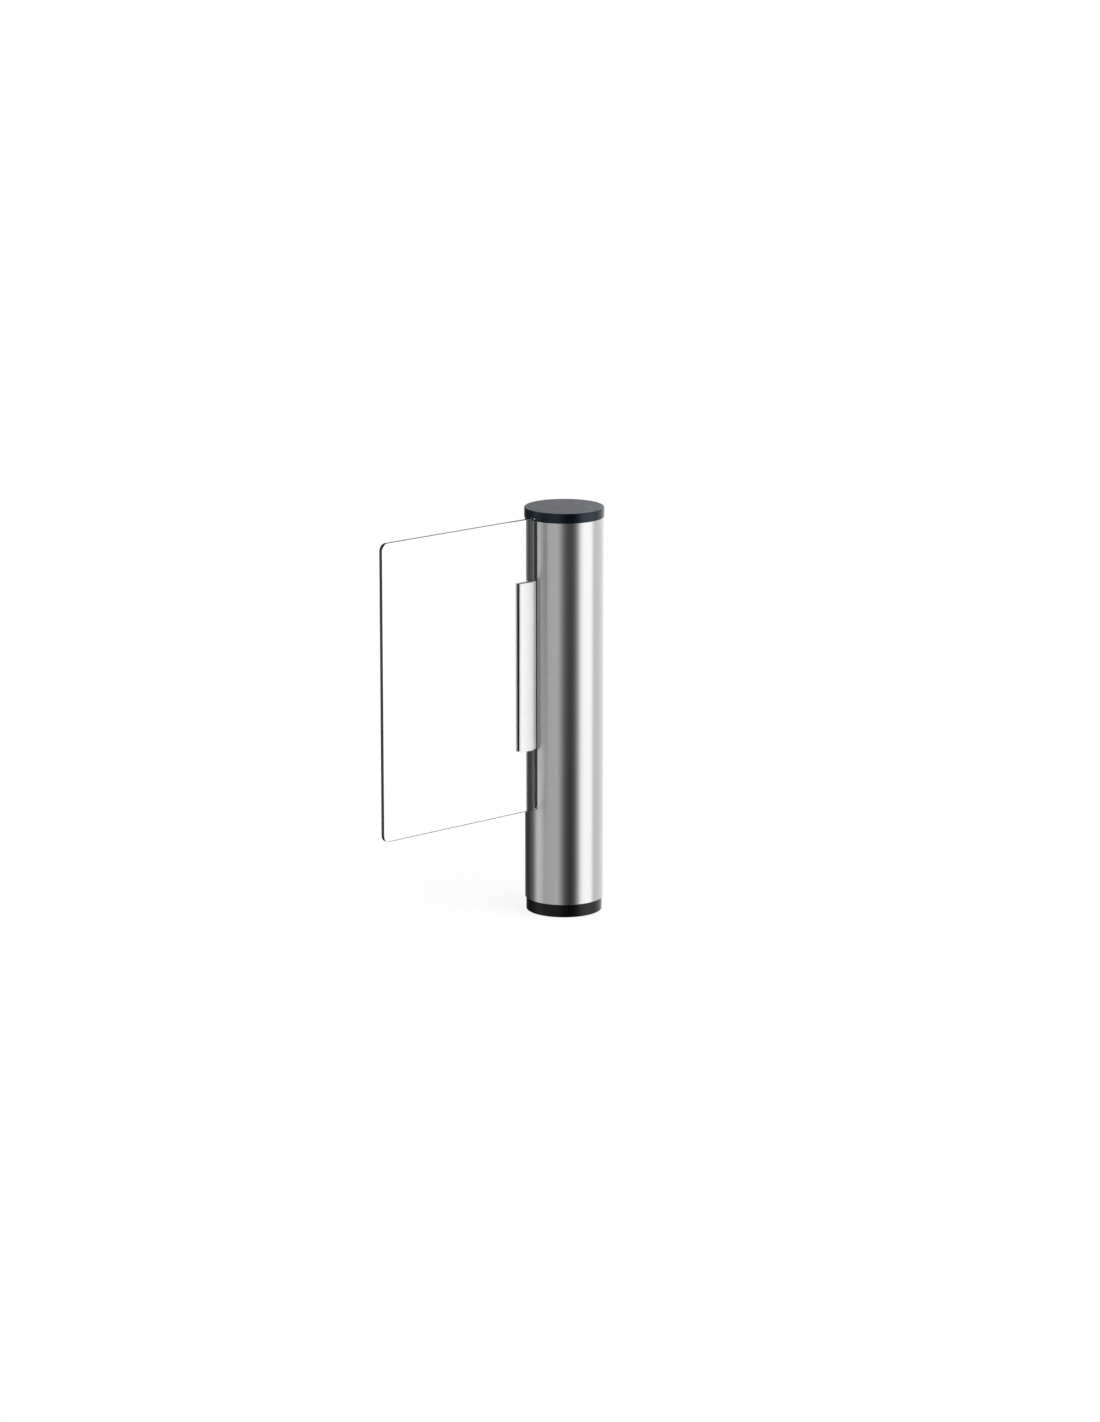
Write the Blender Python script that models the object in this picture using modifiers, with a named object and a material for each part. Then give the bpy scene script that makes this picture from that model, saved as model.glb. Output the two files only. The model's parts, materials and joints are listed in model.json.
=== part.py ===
"""Swing barrier gate: a clear glass wing on a steel sleeve that turns about a fixed core.

Metres, +Z up. The origin is on the post's axis at the floor. At rest the wing stands out along -X.
The side of the clamp without screws faces -Y.
"""

import bpy
import bmesh
from math import acos, asin, cos, pi, radians, sin, sqrt, tan
from mathutils import Matrix, Vector

# Clearances
FIT = 0.0003
RUNNING_GAP = 0.001
MERGE = 0.00001
OVERRUN = 0.002

# Sides of round forms
SHELL_SIDES = 48
RING_SIDES = 32
PART_SIDES = 16
HOLE_SIDES = 8
BALL_SIDES = 6
BALL_RINGS = 4
ARC_STEPS = 4
SHARP_ANGLE = radians(35.0)

# Post
SLEEVE_RADIUS = 0.095
SLEEVE_WALL = 0.003
SLEEVE_FOOT = 0.032
SLEEVE_HEIGHT = 0.944
SLOT_WIDTH = 0.018
SLOT_RISE = 0.009
CAP_HEIGHT = 0.024
CAP_OVERHANG = 0.0015
CAP_CHAMFER = 0.002
CAP_ROOF = 0.008
CAP_SKIRT_WALL = 0.003
DISC_RADIUS = 0.086
DISC_THICKNESS = 0.002

# Base
BASE_SETBACK = 0.003
BASE_RING_WALL = 0.0057
BASE_LIP = 0.0035
SPIGOT_CLEARANCE = 0.0035
SPIGOT_GAP = 0.002
FLANGE_THICKNESS = 0.015
FLANGE_CHAMFER = 0.001
ANCHOR_COUNT = 4
ANCHOR_EDGE = 0.0145
ANCHOR_HOLE_RADIUS = 0.006
CABLE_HOLE_RADIUS = 0.014
CABLE_HOLE_OFFSET = 0.028

# Core column with its chassis plate
COLUMN_RADIUS = 0.05715
COLUMN_WALL = 0.005
COLUMN_WELD = 0.004
SEAT_THICKNESS = 0.00255
SEAT_RISE = 0.029
SEAT_END = 0.0033
SHOULDER_HEIGHT = 0.0043
SHOULDER_STEP = 0.0038
CHASSIS_DROP = 0.350
CHASSIS_THICKNESS = 0.012
CHASSIS_CLEARANCE = 0.004
CHASSIS_CABLE_RADIUS = 0.030

# Bearings: balls run midway between the rings, and each ring's land stands off the ball's centre by a share
LOWER_BEARING_SECTION = 0.015
LOWER_BEARING_WIDTH = 0.016
LOWER_BALL_RADIUS = 0.004
LOWER_BALL_COUNT = 12
UPPER_BEARING_SECTION = 0.0157
UPPER_BEARING_WIDTH = 0.016
UPPER_BALL_RADIUS = 0.00475
UPPER_BALL_COUNT = 9
BALL_PLAY = 0.0008
LAND_SHARE = 0.575
CAGE_WALL_SHARE = 0.325
CAGE_HEIGHT_SHARE = 1.35
GROOVE_STEPS = 3
CIRCLIP_THICKNESS = 0.0015
CIRCLIP_DEPTH = 0.0017
CIRCLIP_PLAY = 0.0008
CIRCLIP_WIDTH = 0.0047
CIRCLIP_OPENING = 0.012

# Lower hub
HUB_DROP = 0.0026
LIP_OVERLAP = 0.003
LIP_THICKNESS = 0.0051

# Spine
SPINE_WIDTH = 0.034
SPINE_THICKNESS = 0.010
SPINE_GAP = 0.0004

# Plates and pillars of the chassis
TOP_PLATE_DROP = 0.126
GEAR_PLATE_DROP = 0.100
PLATE_THICKNESS = 0.010
PLATE_CABLE_RADIUS = 0.010
PLATE_CABLE_PLACE = 0.040
PILLAR_COUNT = 3
PILLAR_FIRST = radians(45.0)
PILLAR_STEP = radians(135.0)
PILLAR_PITCH = 0.062
PILLAR_RADIUS = 0.008
PILLAR_STUD_RADIUS = 0.004
PILLAR_STUD_LENGTH = 0.011
PILLAR_HOLE_DEPTH = 0.015
TOP_SCREW_LENGTH = 0.022
HOUSING_WALL = 0.005
HOUSING_RIM = 0.003
HOUSING_LIP = 0.004
HOUSING_LIP_STEP = 0.0073
PAN_HEAD_SHARE = 2.0
PAN_HEIGHT_SHARE = 1.2

# Shaft, hub and gear train
SHAFT_RADIUS = 0.015
SHAFT_TAIL_RADIUS = 0.010
SHAFT_TAIL = 0.006
SHAFT_COLLAR_RADIUS = 0.018
SHAFT_COLLAR = 0.0035
SHAFT_FLANGE_RADIUS = 0.030
SHAFT_FLANGE = 0.010
SHAFT_END = 0.002
BUSH_WALL = 0.0037
BUSH_FLANGE = 0.002
BUSH_FLANGE_WIDTH = 0.0027
BUSH_PLAY = 0.0003
HUB_DEPTH = 0.036
HUB_RIM_WALL = 0.012
HUB_RIM_DEPTH = 0.020
HUB_WEB_DROP = 0.005
HUB_WEB = 0.008
HUB_BOSS_RADIUS = 0.034
LOCKNUT_RADIUS = 0.024
LOCKNUT_HEIGHT = 0.010
LOCKNUT_SIDES = 6
GEAR_MODULE = 0.0015
GEAR_TEETH = 48
PINION_TEETH = 16
GEAR_RISE = 0.007
GEAR_WIDTH = 0.014
GEAR_HOLES = 6
GEAR_HOLE_RADIUS = 0.0045
PINION_EXTRA = 0.001
PRESSURE_ANGLE = radians(20.0)
TOOTH_THINNING = 0.0002
DEDENDUM_SHARE = 1.25
GEAR_FLANK_STEPS = 2
PINION_FLANK_STEPS = 3

# Drive under the gear plate
GEARBOX_RADIUS = 0.028
GEARBOX_HEIGHT = 0.0697
GEARBOX_PILOT_RADIUS = 0.016
GEARBOX_PILOT_HEIGHT = 0.006
GEARBOX_GROOVE = 0.0008
GEARBOX_GROOVE_SHARES = (0.22, 0.29, 0.71, 0.78)
OUTPUT_RADIUS = 0.006
OUTPUT_DEPTH = 0.048
OUTPUT_COLLAR_RADIUS = 0.009
MOTOR_HEIGHT = 0.0894
MOTOR_BELL = 0.0085
MOTOR_WAIST = 0.0015
BRAKE_RADIUS = 0.024
BRAKE_HEIGHT = 0.0297
BRAKE_CHAMFER = 0.002
SENSOR_WIDTH = 0.024
SENSOR_LEG = 0.003
SENSOR_CLEARANCE = 0.003
SENSOR_HEIGHT = 0.008
SENSOR_DROP = 0.010

# Stops
LUG_PITCH = 0.060
LUG_LENGTH = 0.024
LUG_WIDTH = 0.016
LUG_CLEARANCE = 0.010
BUFFER_RADIUS = 0.010
BUFFER_HEIGHT = 0.030
BUFFER_POST_RADIUS = 0.005
BUFFER_POST_EXTRA = 0.003
BUFFER_GAP = 0.0005

# Glass wing
GLASS_THICKNESS = 0.010
GLASS_REACH = 0.573
GLASS_RISE = 0.008
GLASS_HEIGHT = 0.720
GLASS_CORNER = 0.018
GLASS_INNER_CORNER = 0.003
GLASS_GAP = 0.0005
NOTCH_CORNER = 0.0025
NOTCH_GAP = 0.002
NOTCH_SIDE_GAP = 0.0006
GLASS_HOLE_RADIUS = 0.007

# Clamp
CLAMP_RISE = 0.152
CLAMP_HEIGHT = 0.415
CLAMP_INNER = 0.108
CLAMP_WIDTH = 0.042
CLAMP_PLATE = 0.0044
CLAMP_CHAMFER = 0.0006
NECK_THICKNESS = 0.012
WEB_DEPTH = 0.011
GASKET_THICKNESS = 0.001
GASKET_INSET = 0.001
GLASS_SCREW_PLACE = 0.136
CLAMP_SCREW_SHARES = (0.12, 0.5, 0.88)
NECK_SCREW_SHARES = (0.06, 0.44, 0.94)
SCREW_RADIUS = 0.003
SCREW_BLIND = 0.001
SCREW_TIP_GAP = 0.0003
NECK_SCREW_LENGTH = 0.023
SPINE_SCREW_GRIP = 0.014
HEAD_SHARE = 2.0

# Electronics on the chassis
BRACKET_PLACE = 0.046
BRACKET_SIDE_MARGIN = 0.005
BRACKET_TOP_MARGIN = 0.020
BRACKET_SHEET = 0.002
BRACKET_FOOT = 0.020
STANDOFF_RADIUS = 0.003
STANDOFF_LENGTH = 0.006
BOARD_WIDTH = 0.086
BOARD_HEIGHT = 0.190
BOARD_THICKNESS = 0.0016
BOARD_RISE = 0.030
BOARD_INSET = 0.006
RELAY_COUNT = 3
RELAY_SIZE = (0.015, 0.016, 0.028)
CAPACITOR_RADIUS = 0.008
CAPACITOR_LENGTH = 0.018
CAPACITOR_COUNT = 2
HEADER_SIZE = (0.010, 0.070, 0.009)
HEATSINK_SIZE = (0.016, 0.050, 0.030)
HEATSINK_FINS = 5
SUPPLY_SIZE = (0.040, 0.038, 0.140)
SUPPLY_CHAMFER = 0.002
SUPPLY_PLACE = (0.012, 0.041)
TERMINAL_SIZE = (0.040, 0.026, 0.030)
TERMINAL_STEP = 0.010
TERMINAL_WAYS = 6
TERMINAL_PLACE = (0.012, -0.045)

# Places that follow from the sizes above
SLEEVE_BORE = SLEEVE_RADIUS - SLEEVE_WALL
SLEEVE_TOP = SLEEVE_FOOT + SLEEVE_HEIGHT
TOP_PLATE_LEVEL = SLEEVE_TOP - TOP_PLATE_DROP
GEAR_PLATE_LEVEL = TOP_PLATE_LEVEL - GEAR_PLATE_DROP
CHASSIS_LEVEL = GEAR_PLATE_LEVEL - CHASSIS_DROP
GLASS_TOP = SLEEVE_TOP + GLASS_RISE
GLASS_BOTTOM = GLASS_TOP - GLASS_HEIGHT
SLOT_BOTTOM = GLASS_BOTTOM + SLOT_RISE
CAP_RADIUS = SLEEVE_RADIUS + CAP_OVERHANG
GATE_HEIGHT = SLEEVE_TOP + CAP_HEIGHT
GLASS_INNER = CAP_RADIUS + GLASS_GAP
BASE_RING_RADIUS = SLEEVE_RADIUS - BASE_SETBACK
FLANGE_RADIUS = BASE_RING_RADIUS - BASE_RING_WALL - FIT
ANCHOR_PITCH = FLANGE_RADIUS - ANCHOR_EDGE
COLUMN_FOOT = FLANGE_THICKNESS + FIT
COLUMN_BORE = COLUMN_RADIUS - COLUMN_WALL
SEAT_RADIUS = COLUMN_RADIUS + SEAT_THICKNESS
LOWER_BEARING_BORE = SEAT_RADIUS + FIT
LOWER_BEARING_FOOT = COLUMN_FOOT + SEAT_RISE + FIT
LOWER_BEARING_TOP = LOWER_BEARING_FOOT + LOWER_BEARING_WIDTH
LOWER_BEARING_OUTER = LOWER_BEARING_BORE + LOWER_BEARING_SECTION
LOWER_HUB_FOOT = LOWER_BEARING_FOOT - HUB_DROP
LOWER_HUB_TOP = LOWER_BEARING_TOP + FIT + LIP_THICKNESS
SPINE_FACE = sqrt((SLEEVE_BORE - SPINE_GAP) ** 2 - (SPINE_WIDTH / 2) ** 2)
SPINE_BACK = SPINE_FACE - SPINE_THICKNESS
SPINE_MIDDLE = SPINE_FACE - SPINE_THICKNESS / 2
CHASSIS_RADIUS = SPINE_BACK - CHASSIS_CLEARANCE
GEAR_PLATE_TOP = GEAR_PLATE_LEVEL + PLATE_THICKNESS
TOP_PLATE_TOP = TOP_PLATE_LEVEL + PLATE_THICKNESS
UPPER_BEARING_BORE = SHAFT_RADIUS + FIT
UPPER_BEARING_OUTER = UPPER_BEARING_BORE + UPPER_BEARING_SECTION
UPPER_BEARING_FOOT = TOP_PLATE_LEVEL + FIT
GEAR_FOOT = GEAR_PLATE_TOP + GEAR_RISE
HUB_TOP = SLEEVE_TOP - HUB_DEPTH
HUB_WEB_TOP = HUB_TOP - HUB_WEB_DROP
HUB_WEB_FOOT = HUB_WEB_TOP - HUB_WEB
HUB_RADIUS = SLEEVE_BORE - FIT
SHAFT_FOOT = GEAR_PLATE_LEVEL - SHAFT_TAIL
SHAFT_FLANGE_TOP = HUB_WEB_FOOT - FIT
GEAR_DISTANCE = GEAR_MODULE * (GEAR_TEETH + PINION_TEETH) / 2
LUG_FOOT = TOP_PLATE_TOP + LUG_CLEARANCE
BUFFER_OFFSET = LUG_WIDTH / 2 + BUFFER_RADIUS + BUFFER_GAP
GASKET_FACE = GLASS_THICKNESS / 2 + FIT
PLATE_FACE = GASKET_FACE + GASKET_THICKNESS + FIT
CLAMP_FACE = PLATE_FACE + CLAMP_PLATE
CLAMP_OUTER = CLAMP_INNER + CLAMP_WIDTH
CLAMP_BOTTOM = GLASS_BOTTOM + CLAMP_RISE
CLAMP_TOP = CLAMP_BOTTOM + CLAMP_HEIGHT
WEB_OUTER = CLAMP_INNER + WEB_DEPTH
WEB_FACE = PLATE_FACE - FIT
NECK_END = SPINE_FACE + FIT
HOLE_RADIUS = SCREW_RADIUS + FIT

# Finishes: colour, roughness, metallic
FINISHES = {
    "brushed_stainless": ((0.56, 0.56, 0.57), 0.32, 1.0),
    "clamp_steel": ((0.74, 0.74, 0.75), 0.30, 1.0),
    "black_cap": ((0.016, 0.019, 0.024), 0.38, 0.0),
    "cap_face": ((0.13, 0.13, 0.14), 0.45, 0.0),
    "black_base": ((0.012, 0.012, 0.013), 0.50, 0.0),
    "clear_glass": ((0.86, 0.93, 0.91), 0.02, 0.0),
    "black_rubber": ((0.020, 0.020, 0.021), 0.75, 0.0),
    "zinc_steel": ((0.52, 0.53, 0.54), 0.42, 1.0),
    "bearing_steel": ((0.62, 0.62, 0.63), 0.18, 1.0),
    "gear_steel": ((0.36, 0.36, 0.37), 0.34, 1.0),
    "bronze": ((0.46, 0.27, 0.11), 0.35, 1.0),
    "cast_aluminium": ((0.60, 0.61, 0.62), 0.45, 1.0),
    "black_oxide": ((0.030, 0.030, 0.032), 0.45, 0.8),
    "brass_cage": ((0.60, 0.42, 0.16), 0.35, 1.0),
    "board_green": ((0.015, 0.090, 0.040), 0.55, 0.0),
    "grey_plastic": ((0.28, 0.29, 0.30), 0.55, 0.0),
}


def clear_scene():
    """Start from an empty scene."""
    for item in list(bpy.data.objects):
        bpy.data.objects.remove(item, do_unlink=True)
    for group in list(bpy.data.collections):
        bpy.data.collections.remove(group)


def make_collection(name):
    group = bpy.data.collections.new(name)
    bpy.context.scene.collection.children.link(group)
    return group


clear_scene()
GATE = make_collection("swing_barrier_gate")
CUTTERS = make_collection("cutters")


def finish_of(name):
    """The Principled material of that name, made once."""
    material = bpy.data.materials.get(name)
    if material is None:
        colour, roughness, metallic = FINISHES[name]
        material = bpy.data.materials.new(name)
        material.use_nodes = True
        shader = material.node_tree.nodes["Principled BSDF"]
        shader.inputs["Base Color"].default_value = (*colour, 1.0)
        shader.inputs["Roughness"].default_value = roughness
        shader.inputs["Metallic"].default_value = metallic
    return material


def make_axis(name, at):
    """An empty on a joint's axis, which carries the pieces that turn with it."""
    axis = bpy.data.objects.new(name, None)
    axis.empty_display_type = "SINGLE_ARROW"
    axis.location = at
    GATE.objects.link(axis)
    return axis


def add_piece(name, mesh, finish, at, parent=None, turn=(0.0, 0.0, 0.0)):
    """Link a mesh as a named piece, at a place given from the origin of the gate."""
    piece = bpy.data.objects.new(name, mesh)
    if finish:
        mesh.materials.append(finish_of(finish))
    piece.rotation_euler = turn
    piece.location = Vector(at)
    if parent:
        piece.parent = parent
        piece.location -= parent.location
    GATE.objects.link(piece)
    return piece


def as_cutter(piece):
    """Move a helper shape to the cutters, out of the rendered model."""
    GATE.objects.unlink(piece)
    CUTTERS.objects.link(piece)
    piece.hide_render = True
    piece.display_type = "WIRE"
    return piece


def combine(piece, helper, operation):
    """Cut or join a piece with a helper by a Boolean modifier."""
    as_cutter(helper)
    boolean = piece.modifiers.new(helper.name, "BOOLEAN")
    boolean.operation = operation
    boolean.object = helper
    return piece


def cut(piece, *helpers):
    for helper in helpers:
        combine(piece, helper, "DIFFERENCE")
    return piece


def join(piece, *helpers):
    for helper in helpers:
        combine(piece, helper, "UNION")
    return piece


def circle(radius, sides, centre=(0.0, 0.0)):
    """Points round a circle, anticlockwise."""
    steps = [2.0 * pi * index / sides for index in range(sides)]
    return [(centre[0] + radius * cos(angle), centre[1] + radius * sin(angle)) for angle in steps]


def rounded(corners):
    """An outline from (x, y, radius) corners, with a quarter circle where the radius isn't 0."""
    outline = []
    for index, (x, y, radius) in enumerate(corners):
        here = Vector((x, y))
        if radius == 0.0:
            outline.append((x, y))
            continue
        before = (Vector(corners[index - 1][:2]) - here).normalized()
        after = (Vector(corners[(index + 1) % len(corners)][:2]) - here).normalized()
        centre = here + (before + after) * radius
        start = here + before * radius - centre
        turn = pi / 2 if before.x * after.y - before.y * after.x < 0.0 else -pi / 2
        for step in range(ARC_STEPS + 1):
            arm = Matrix.Rotation(turn * step / ARC_STEPS, 2) @ start
            outline.append((centre.x + arm.x, centre.y + arm.y))
    return outline


def turned(name, section, sides, finish, at=(0.0, 0.0, 0.0), parent=None, turn=(0.0, 0.0, 0.0)):
    """Revolve a half section of (radius, height) points, which runs down the outer side of the shape."""
    mesh = bpy.data.meshes.new(name)
    runs = [(index, index + 1) for index in range(len(section) - 1)]
    if section[0][0] > 0.0:
        runs.append((len(section) - 1, 0))
    mesh.from_pydata([(radius, 0.0, height) for radius, height in section], runs, [])
    piece = add_piece(name, mesh, finish, at, parent, turn)
    screw = piece.modifiers.new("revolve", "SCREW")
    screw.steps = sides
    screw.render_steps = sides
    screw.use_merge_vertices = True
    screw.merge_threshold = MERGE
    return piece


def flat(name, outlines, thickness, finish, at=(0.0, 0.0, 0.0), parent=None, turn=(0.0, 0.0, 0.0)):
    """A flat piece from closed outlines in its own XY plane: the outer one first, then its holes.

    Its place is the middle of its thickness.
    """
    curve = bpy.data.curves.new(name, "CURVE")
    curve.dimensions = "2D"
    curve.fill_mode = "BOTH"
    curve.extrude = thickness / 2
    for outline in outlines:
        spline = curve.splines.new("POLY")
        spline.points.add(len(outline) - 1)
        for point, (x, y) in zip(spline.points, outline):
            point.co = (x, y, 0.0, 1.0)
        spline.use_cyclic_u = True
    guide = bpy.data.objects.new(name + "_outline", curve)
    GATE.objects.link(guide)
    bpy.context.view_layer.update()
    mesh = bpy.data.meshes.new_from_object(guide.evaluated_get(bpy.context.evaluated_depsgraph_get()))
    bpy.data.objects.remove(guide, do_unlink=True)
    solid = bmesh.new()
    solid.from_mesh(mesh)
    bmesh.ops.remove_doubles(solid, verts=solid.verts, dist=MERGE)
    solid.to_mesh(mesh)
    solid.free()
    mesh.name = name
    return add_piece(name, mesh, finish, at, parent, turn)


def block(name, size, finish, at=(0.0, 0.0, 0.0), parent=None, chamfer=0.0):
    """A box with its place at its middle."""
    mesh = bpy.data.meshes.new(name)
    solid = bmesh.new()
    bmesh.ops.create_cube(solid, size=1.0)
    bmesh.ops.scale(solid, vec=size, verts=solid.verts)
    solid.to_mesh(mesh)
    solid.free()
    piece = add_piece(name, mesh, finish, at, parent)
    if chamfer > 0.0:
        bevel = piece.modifiers.new("chamfer", "BEVEL")
        bevel.width = chamfer
        bevel.segments = 1
    return piece


def rod(name, radius, length, sides, at, turn=(0.0, 0.0, 0.0)):
    """A plain cylinder along its own Z, with its place at its middle."""
    mesh = bpy.data.meshes.new(name)
    solid = bmesh.new()
    bmesh.ops.create_cone(
        solid, cap_ends=True, segments=sides, radius1=radius, radius2=radius, depth=length
    )
    solid.to_mesh(mesh)
    solid.free()
    return add_piece(name, mesh, None, at, None, turn)


ALONG_X = (0.0, pi / 2, 0.0)
ALONG_Y = (-pi / 2, 0.0, 0.0)
UPRIGHT_SHEET = (pi / 2, 0.0, 0.0)
UPSIDE_DOWN = (pi, 0.0, 0.0)
POST_AXIS = (0.0, 0.0, 0.0)
PINION_PLACE = (GEAR_DISTANCE, 0.0, 0.0)


def pillar_places():
    """The pillars' places round the axis, in plan."""
    angles = [PILLAR_FIRST + PILLAR_STEP * index for index in range(PILLAR_COUNT)]
    return [(PILLAR_PITCH * cos(angle), PILLAR_PITCH * sin(angle)) for angle in angles]


def clamp_levels(shares):
    """Heights along the clamp."""
    return [CLAMP_BOTTOM + CLAMP_HEIGHT * share for share in shares]


def screw_section(length):
    """A countersunk screw with its head's face at height 0."""
    head = SCREW_RADIUS * HEAD_SHARE
    return [
        (0.0, 0.0),
        (head, 0.0),
        (SCREW_RADIUS, SCREW_RADIUS - head),
        (SCREW_RADIUS, -length),
        (0.0, -length),
    ]


def screw(name, length, at, turn, parent):
    return turned(name, screw_section(length), HOLE_SIDES, "zinc_steel", at, parent, turn)


def screw_seat(name, depth, at, turn):
    """The countersunk hole that such a screw sits in, with its mouth at height 0."""
    head = SCREW_RADIUS * HEAD_SHARE + FIT
    section = [
        (0.0, OVERRUN),
        (head, OVERRUN),
        (head, -FIT),
        (HOLE_RADIUS, HOLE_RADIUS - head - FIT),
        (HOLE_RADIUS, -depth),
        (0.0, -depth),
    ]
    return turned(name, section, HOLE_SIDES, None, at, None, turn)


def groove(centre, ball_radius, side):
    """The ball groove of a ring: side is 1 where it opens outwards and -1 where it opens inwards."""
    radius = ball_radius + BALL_PLAY
    half = acos(ball_radius * LAND_SHARE / radius)
    middle = pi if side > 0 else 0.0
    points = []
    for step in range(GROOVE_STEPS + 1):
        angle = middle - half + 2.0 * half * step / GROOVE_STEPS
        points.append((centre + radius * cos(angle), radius * sin(angle)))
    return points


def bearing(prefix, names, bore, section, width, ball_radius, balls, foot, parents):
    """A deep-groove ball bearing: inner ring, outer ring and a cage that holds the balls."""
    centre = bore + section / 2
    outer = bore + section
    land = ball_radius * LAND_SHARE
    half = width / 2
    middle = (0.0, 0.0, foot + half)
    inner_groove = groove(centre, ball_radius, 1)
    inner_section = [(centre - land, half)] + inner_groove
    inner_section += [(centre - land, -half), (bore, -half), (bore, half)]
    outer_groove = groove(centre, ball_radius, -1)
    outer_section = [(outer, half), (outer, -half), (centre + land, -half)] + outer_groove
    outer_section += [(centre + land, half)]
    turned(names[0], inner_section, RING_SIDES, "bearing_steel", middle, parents[0])
    turned(names[1], outer_section, RING_SIDES, "bearing_steel", middle, parents[1])
    ball_cage(prefix + "_ball_cage", centre, ball_radius, balls, middle, parents[2])


def ball_cage(name, centre, ball_radius, balls, middle, parent):
    """The cage ring of a bearing with its balls seated in it."""
    wall = ball_radius * CAGE_WALL_SHARE
    half = ball_radius * CAGE_HEIGHT_SHARE
    section = [
        (centre + wall, half),
        (centre + wall, -half),
        (centre - wall, -half),
        (centre - wall, half),
    ]
    cage = turned(name, section, RING_SIDES, "brass_cage", middle, parent)
    mesh = bpy.data.meshes.new(name + "_balls")
    solid = bmesh.new()
    for place in circle(centre, balls):
        spot = Matrix.Translation((place[0], place[1], 0.0))
        bmesh.ops.create_uvsphere(
            solid, u_segments=BALL_SIDES, v_segments=BALL_RINGS, radius=ball_radius, matrix=spot
        )
    solid.to_mesh(mesh)
    solid.free()
    join(cage, add_piece(name + "_balls", mesh, None, middle, parent))


def involute(angle):
    return tan(angle) - angle


def gear_outline(teeth, phase, flank_steps):
    """The outline of a spur gear with involute flanks, thinned a little for backlash."""
    pitch = GEAR_MODULE * teeth / 2
    base = pitch * cos(PRESSURE_ANGLE)
    tip = pitch + GEAR_MODULE
    root = pitch - GEAR_MODULE * DEDENDUM_SHARE
    start = max(base, root)
    half = (pi * GEAR_MODULE / 4 - TOOTH_THINNING) / pitch + involute(PRESSURE_ANGLE)
    flank = []
    for step in range(flank_steps):
        radius = start + (tip - start) * step / (flank_steps - 1)
        flank.append((radius, half - involute(acos(base / radius))))
    if start > root:
        flank = [(root, flank[0][1])] + flank
    outline = []
    for tooth in range(teeth):
        middle = phase + 2.0 * pi * tooth / teeth
        for radius, offset in flank:
            outline.append((radius * cos(middle - offset), radius * sin(middle - offset)))
        for radius, offset in reversed(flank):
            outline.append((radius * cos(middle + offset), radius * sin(middle + offset)))
    return outline


def build_base():
    """The floor flange with its anchor and cable holes, and the black ring round it."""
    section = [
        (0.0, FLANGE_THICKNESS),
        (FLANGE_RADIUS - FLANGE_CHAMFER, FLANGE_THICKNESS),
        (FLANGE_RADIUS, FLANGE_THICKNESS - FLANGE_CHAMFER),
        (FLANGE_RADIUS, 0.0),
        (0.0, 0.0),
    ]
    flange = turned("base_flange", section, SHELL_SIDES, "zinc_steel")
    depth = FLANGE_THICKNESS + 2.0 * OVERRUN
    level = FLANGE_THICKNESS / 2
    for index in range(ANCHOR_COUNT):
        angle = pi / ANCHOR_COUNT + 2.0 * pi * index / ANCHOR_COUNT
        place = (ANCHOR_PITCH * cos(angle), ANCHOR_PITCH * sin(angle), level)
        cut(flange, rod(f"anchor_hole_{index + 1}", ANCHOR_HOLE_RADIUS, depth, HOLE_SIDES, place))
    place = (CABLE_HOLE_OFFSET, 0.0, level)
    cut(flange, rod("cable_hole", CABLE_HOLE_RADIUS, depth, PART_SIDES, place))

    ring_top = SLEEVE_FOOT - RUNNING_GAP
    bore = FLANGE_RADIUS + FIT
    lip = bore - BASE_LIP
    lip_foot = FLANGE_THICKNESS + FIT
    spigot = SLEEVE_BORE - SPIGOT_CLEARANCE
    spigot_top = LOWER_HUB_FOOT - SPIGOT_GAP
    section = [
        (spigot, spigot_top),
        (spigot, ring_top),
        (BASE_RING_RADIUS, ring_top),
        (BASE_RING_RADIUS, 0.0),
        (bore, 0.0),
        (bore, lip_foot),
        (lip, lip_foot),
        (lip, spigot_top),
    ]
    turned("base_ring", section, SHELL_SIDES, "black_base")


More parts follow.
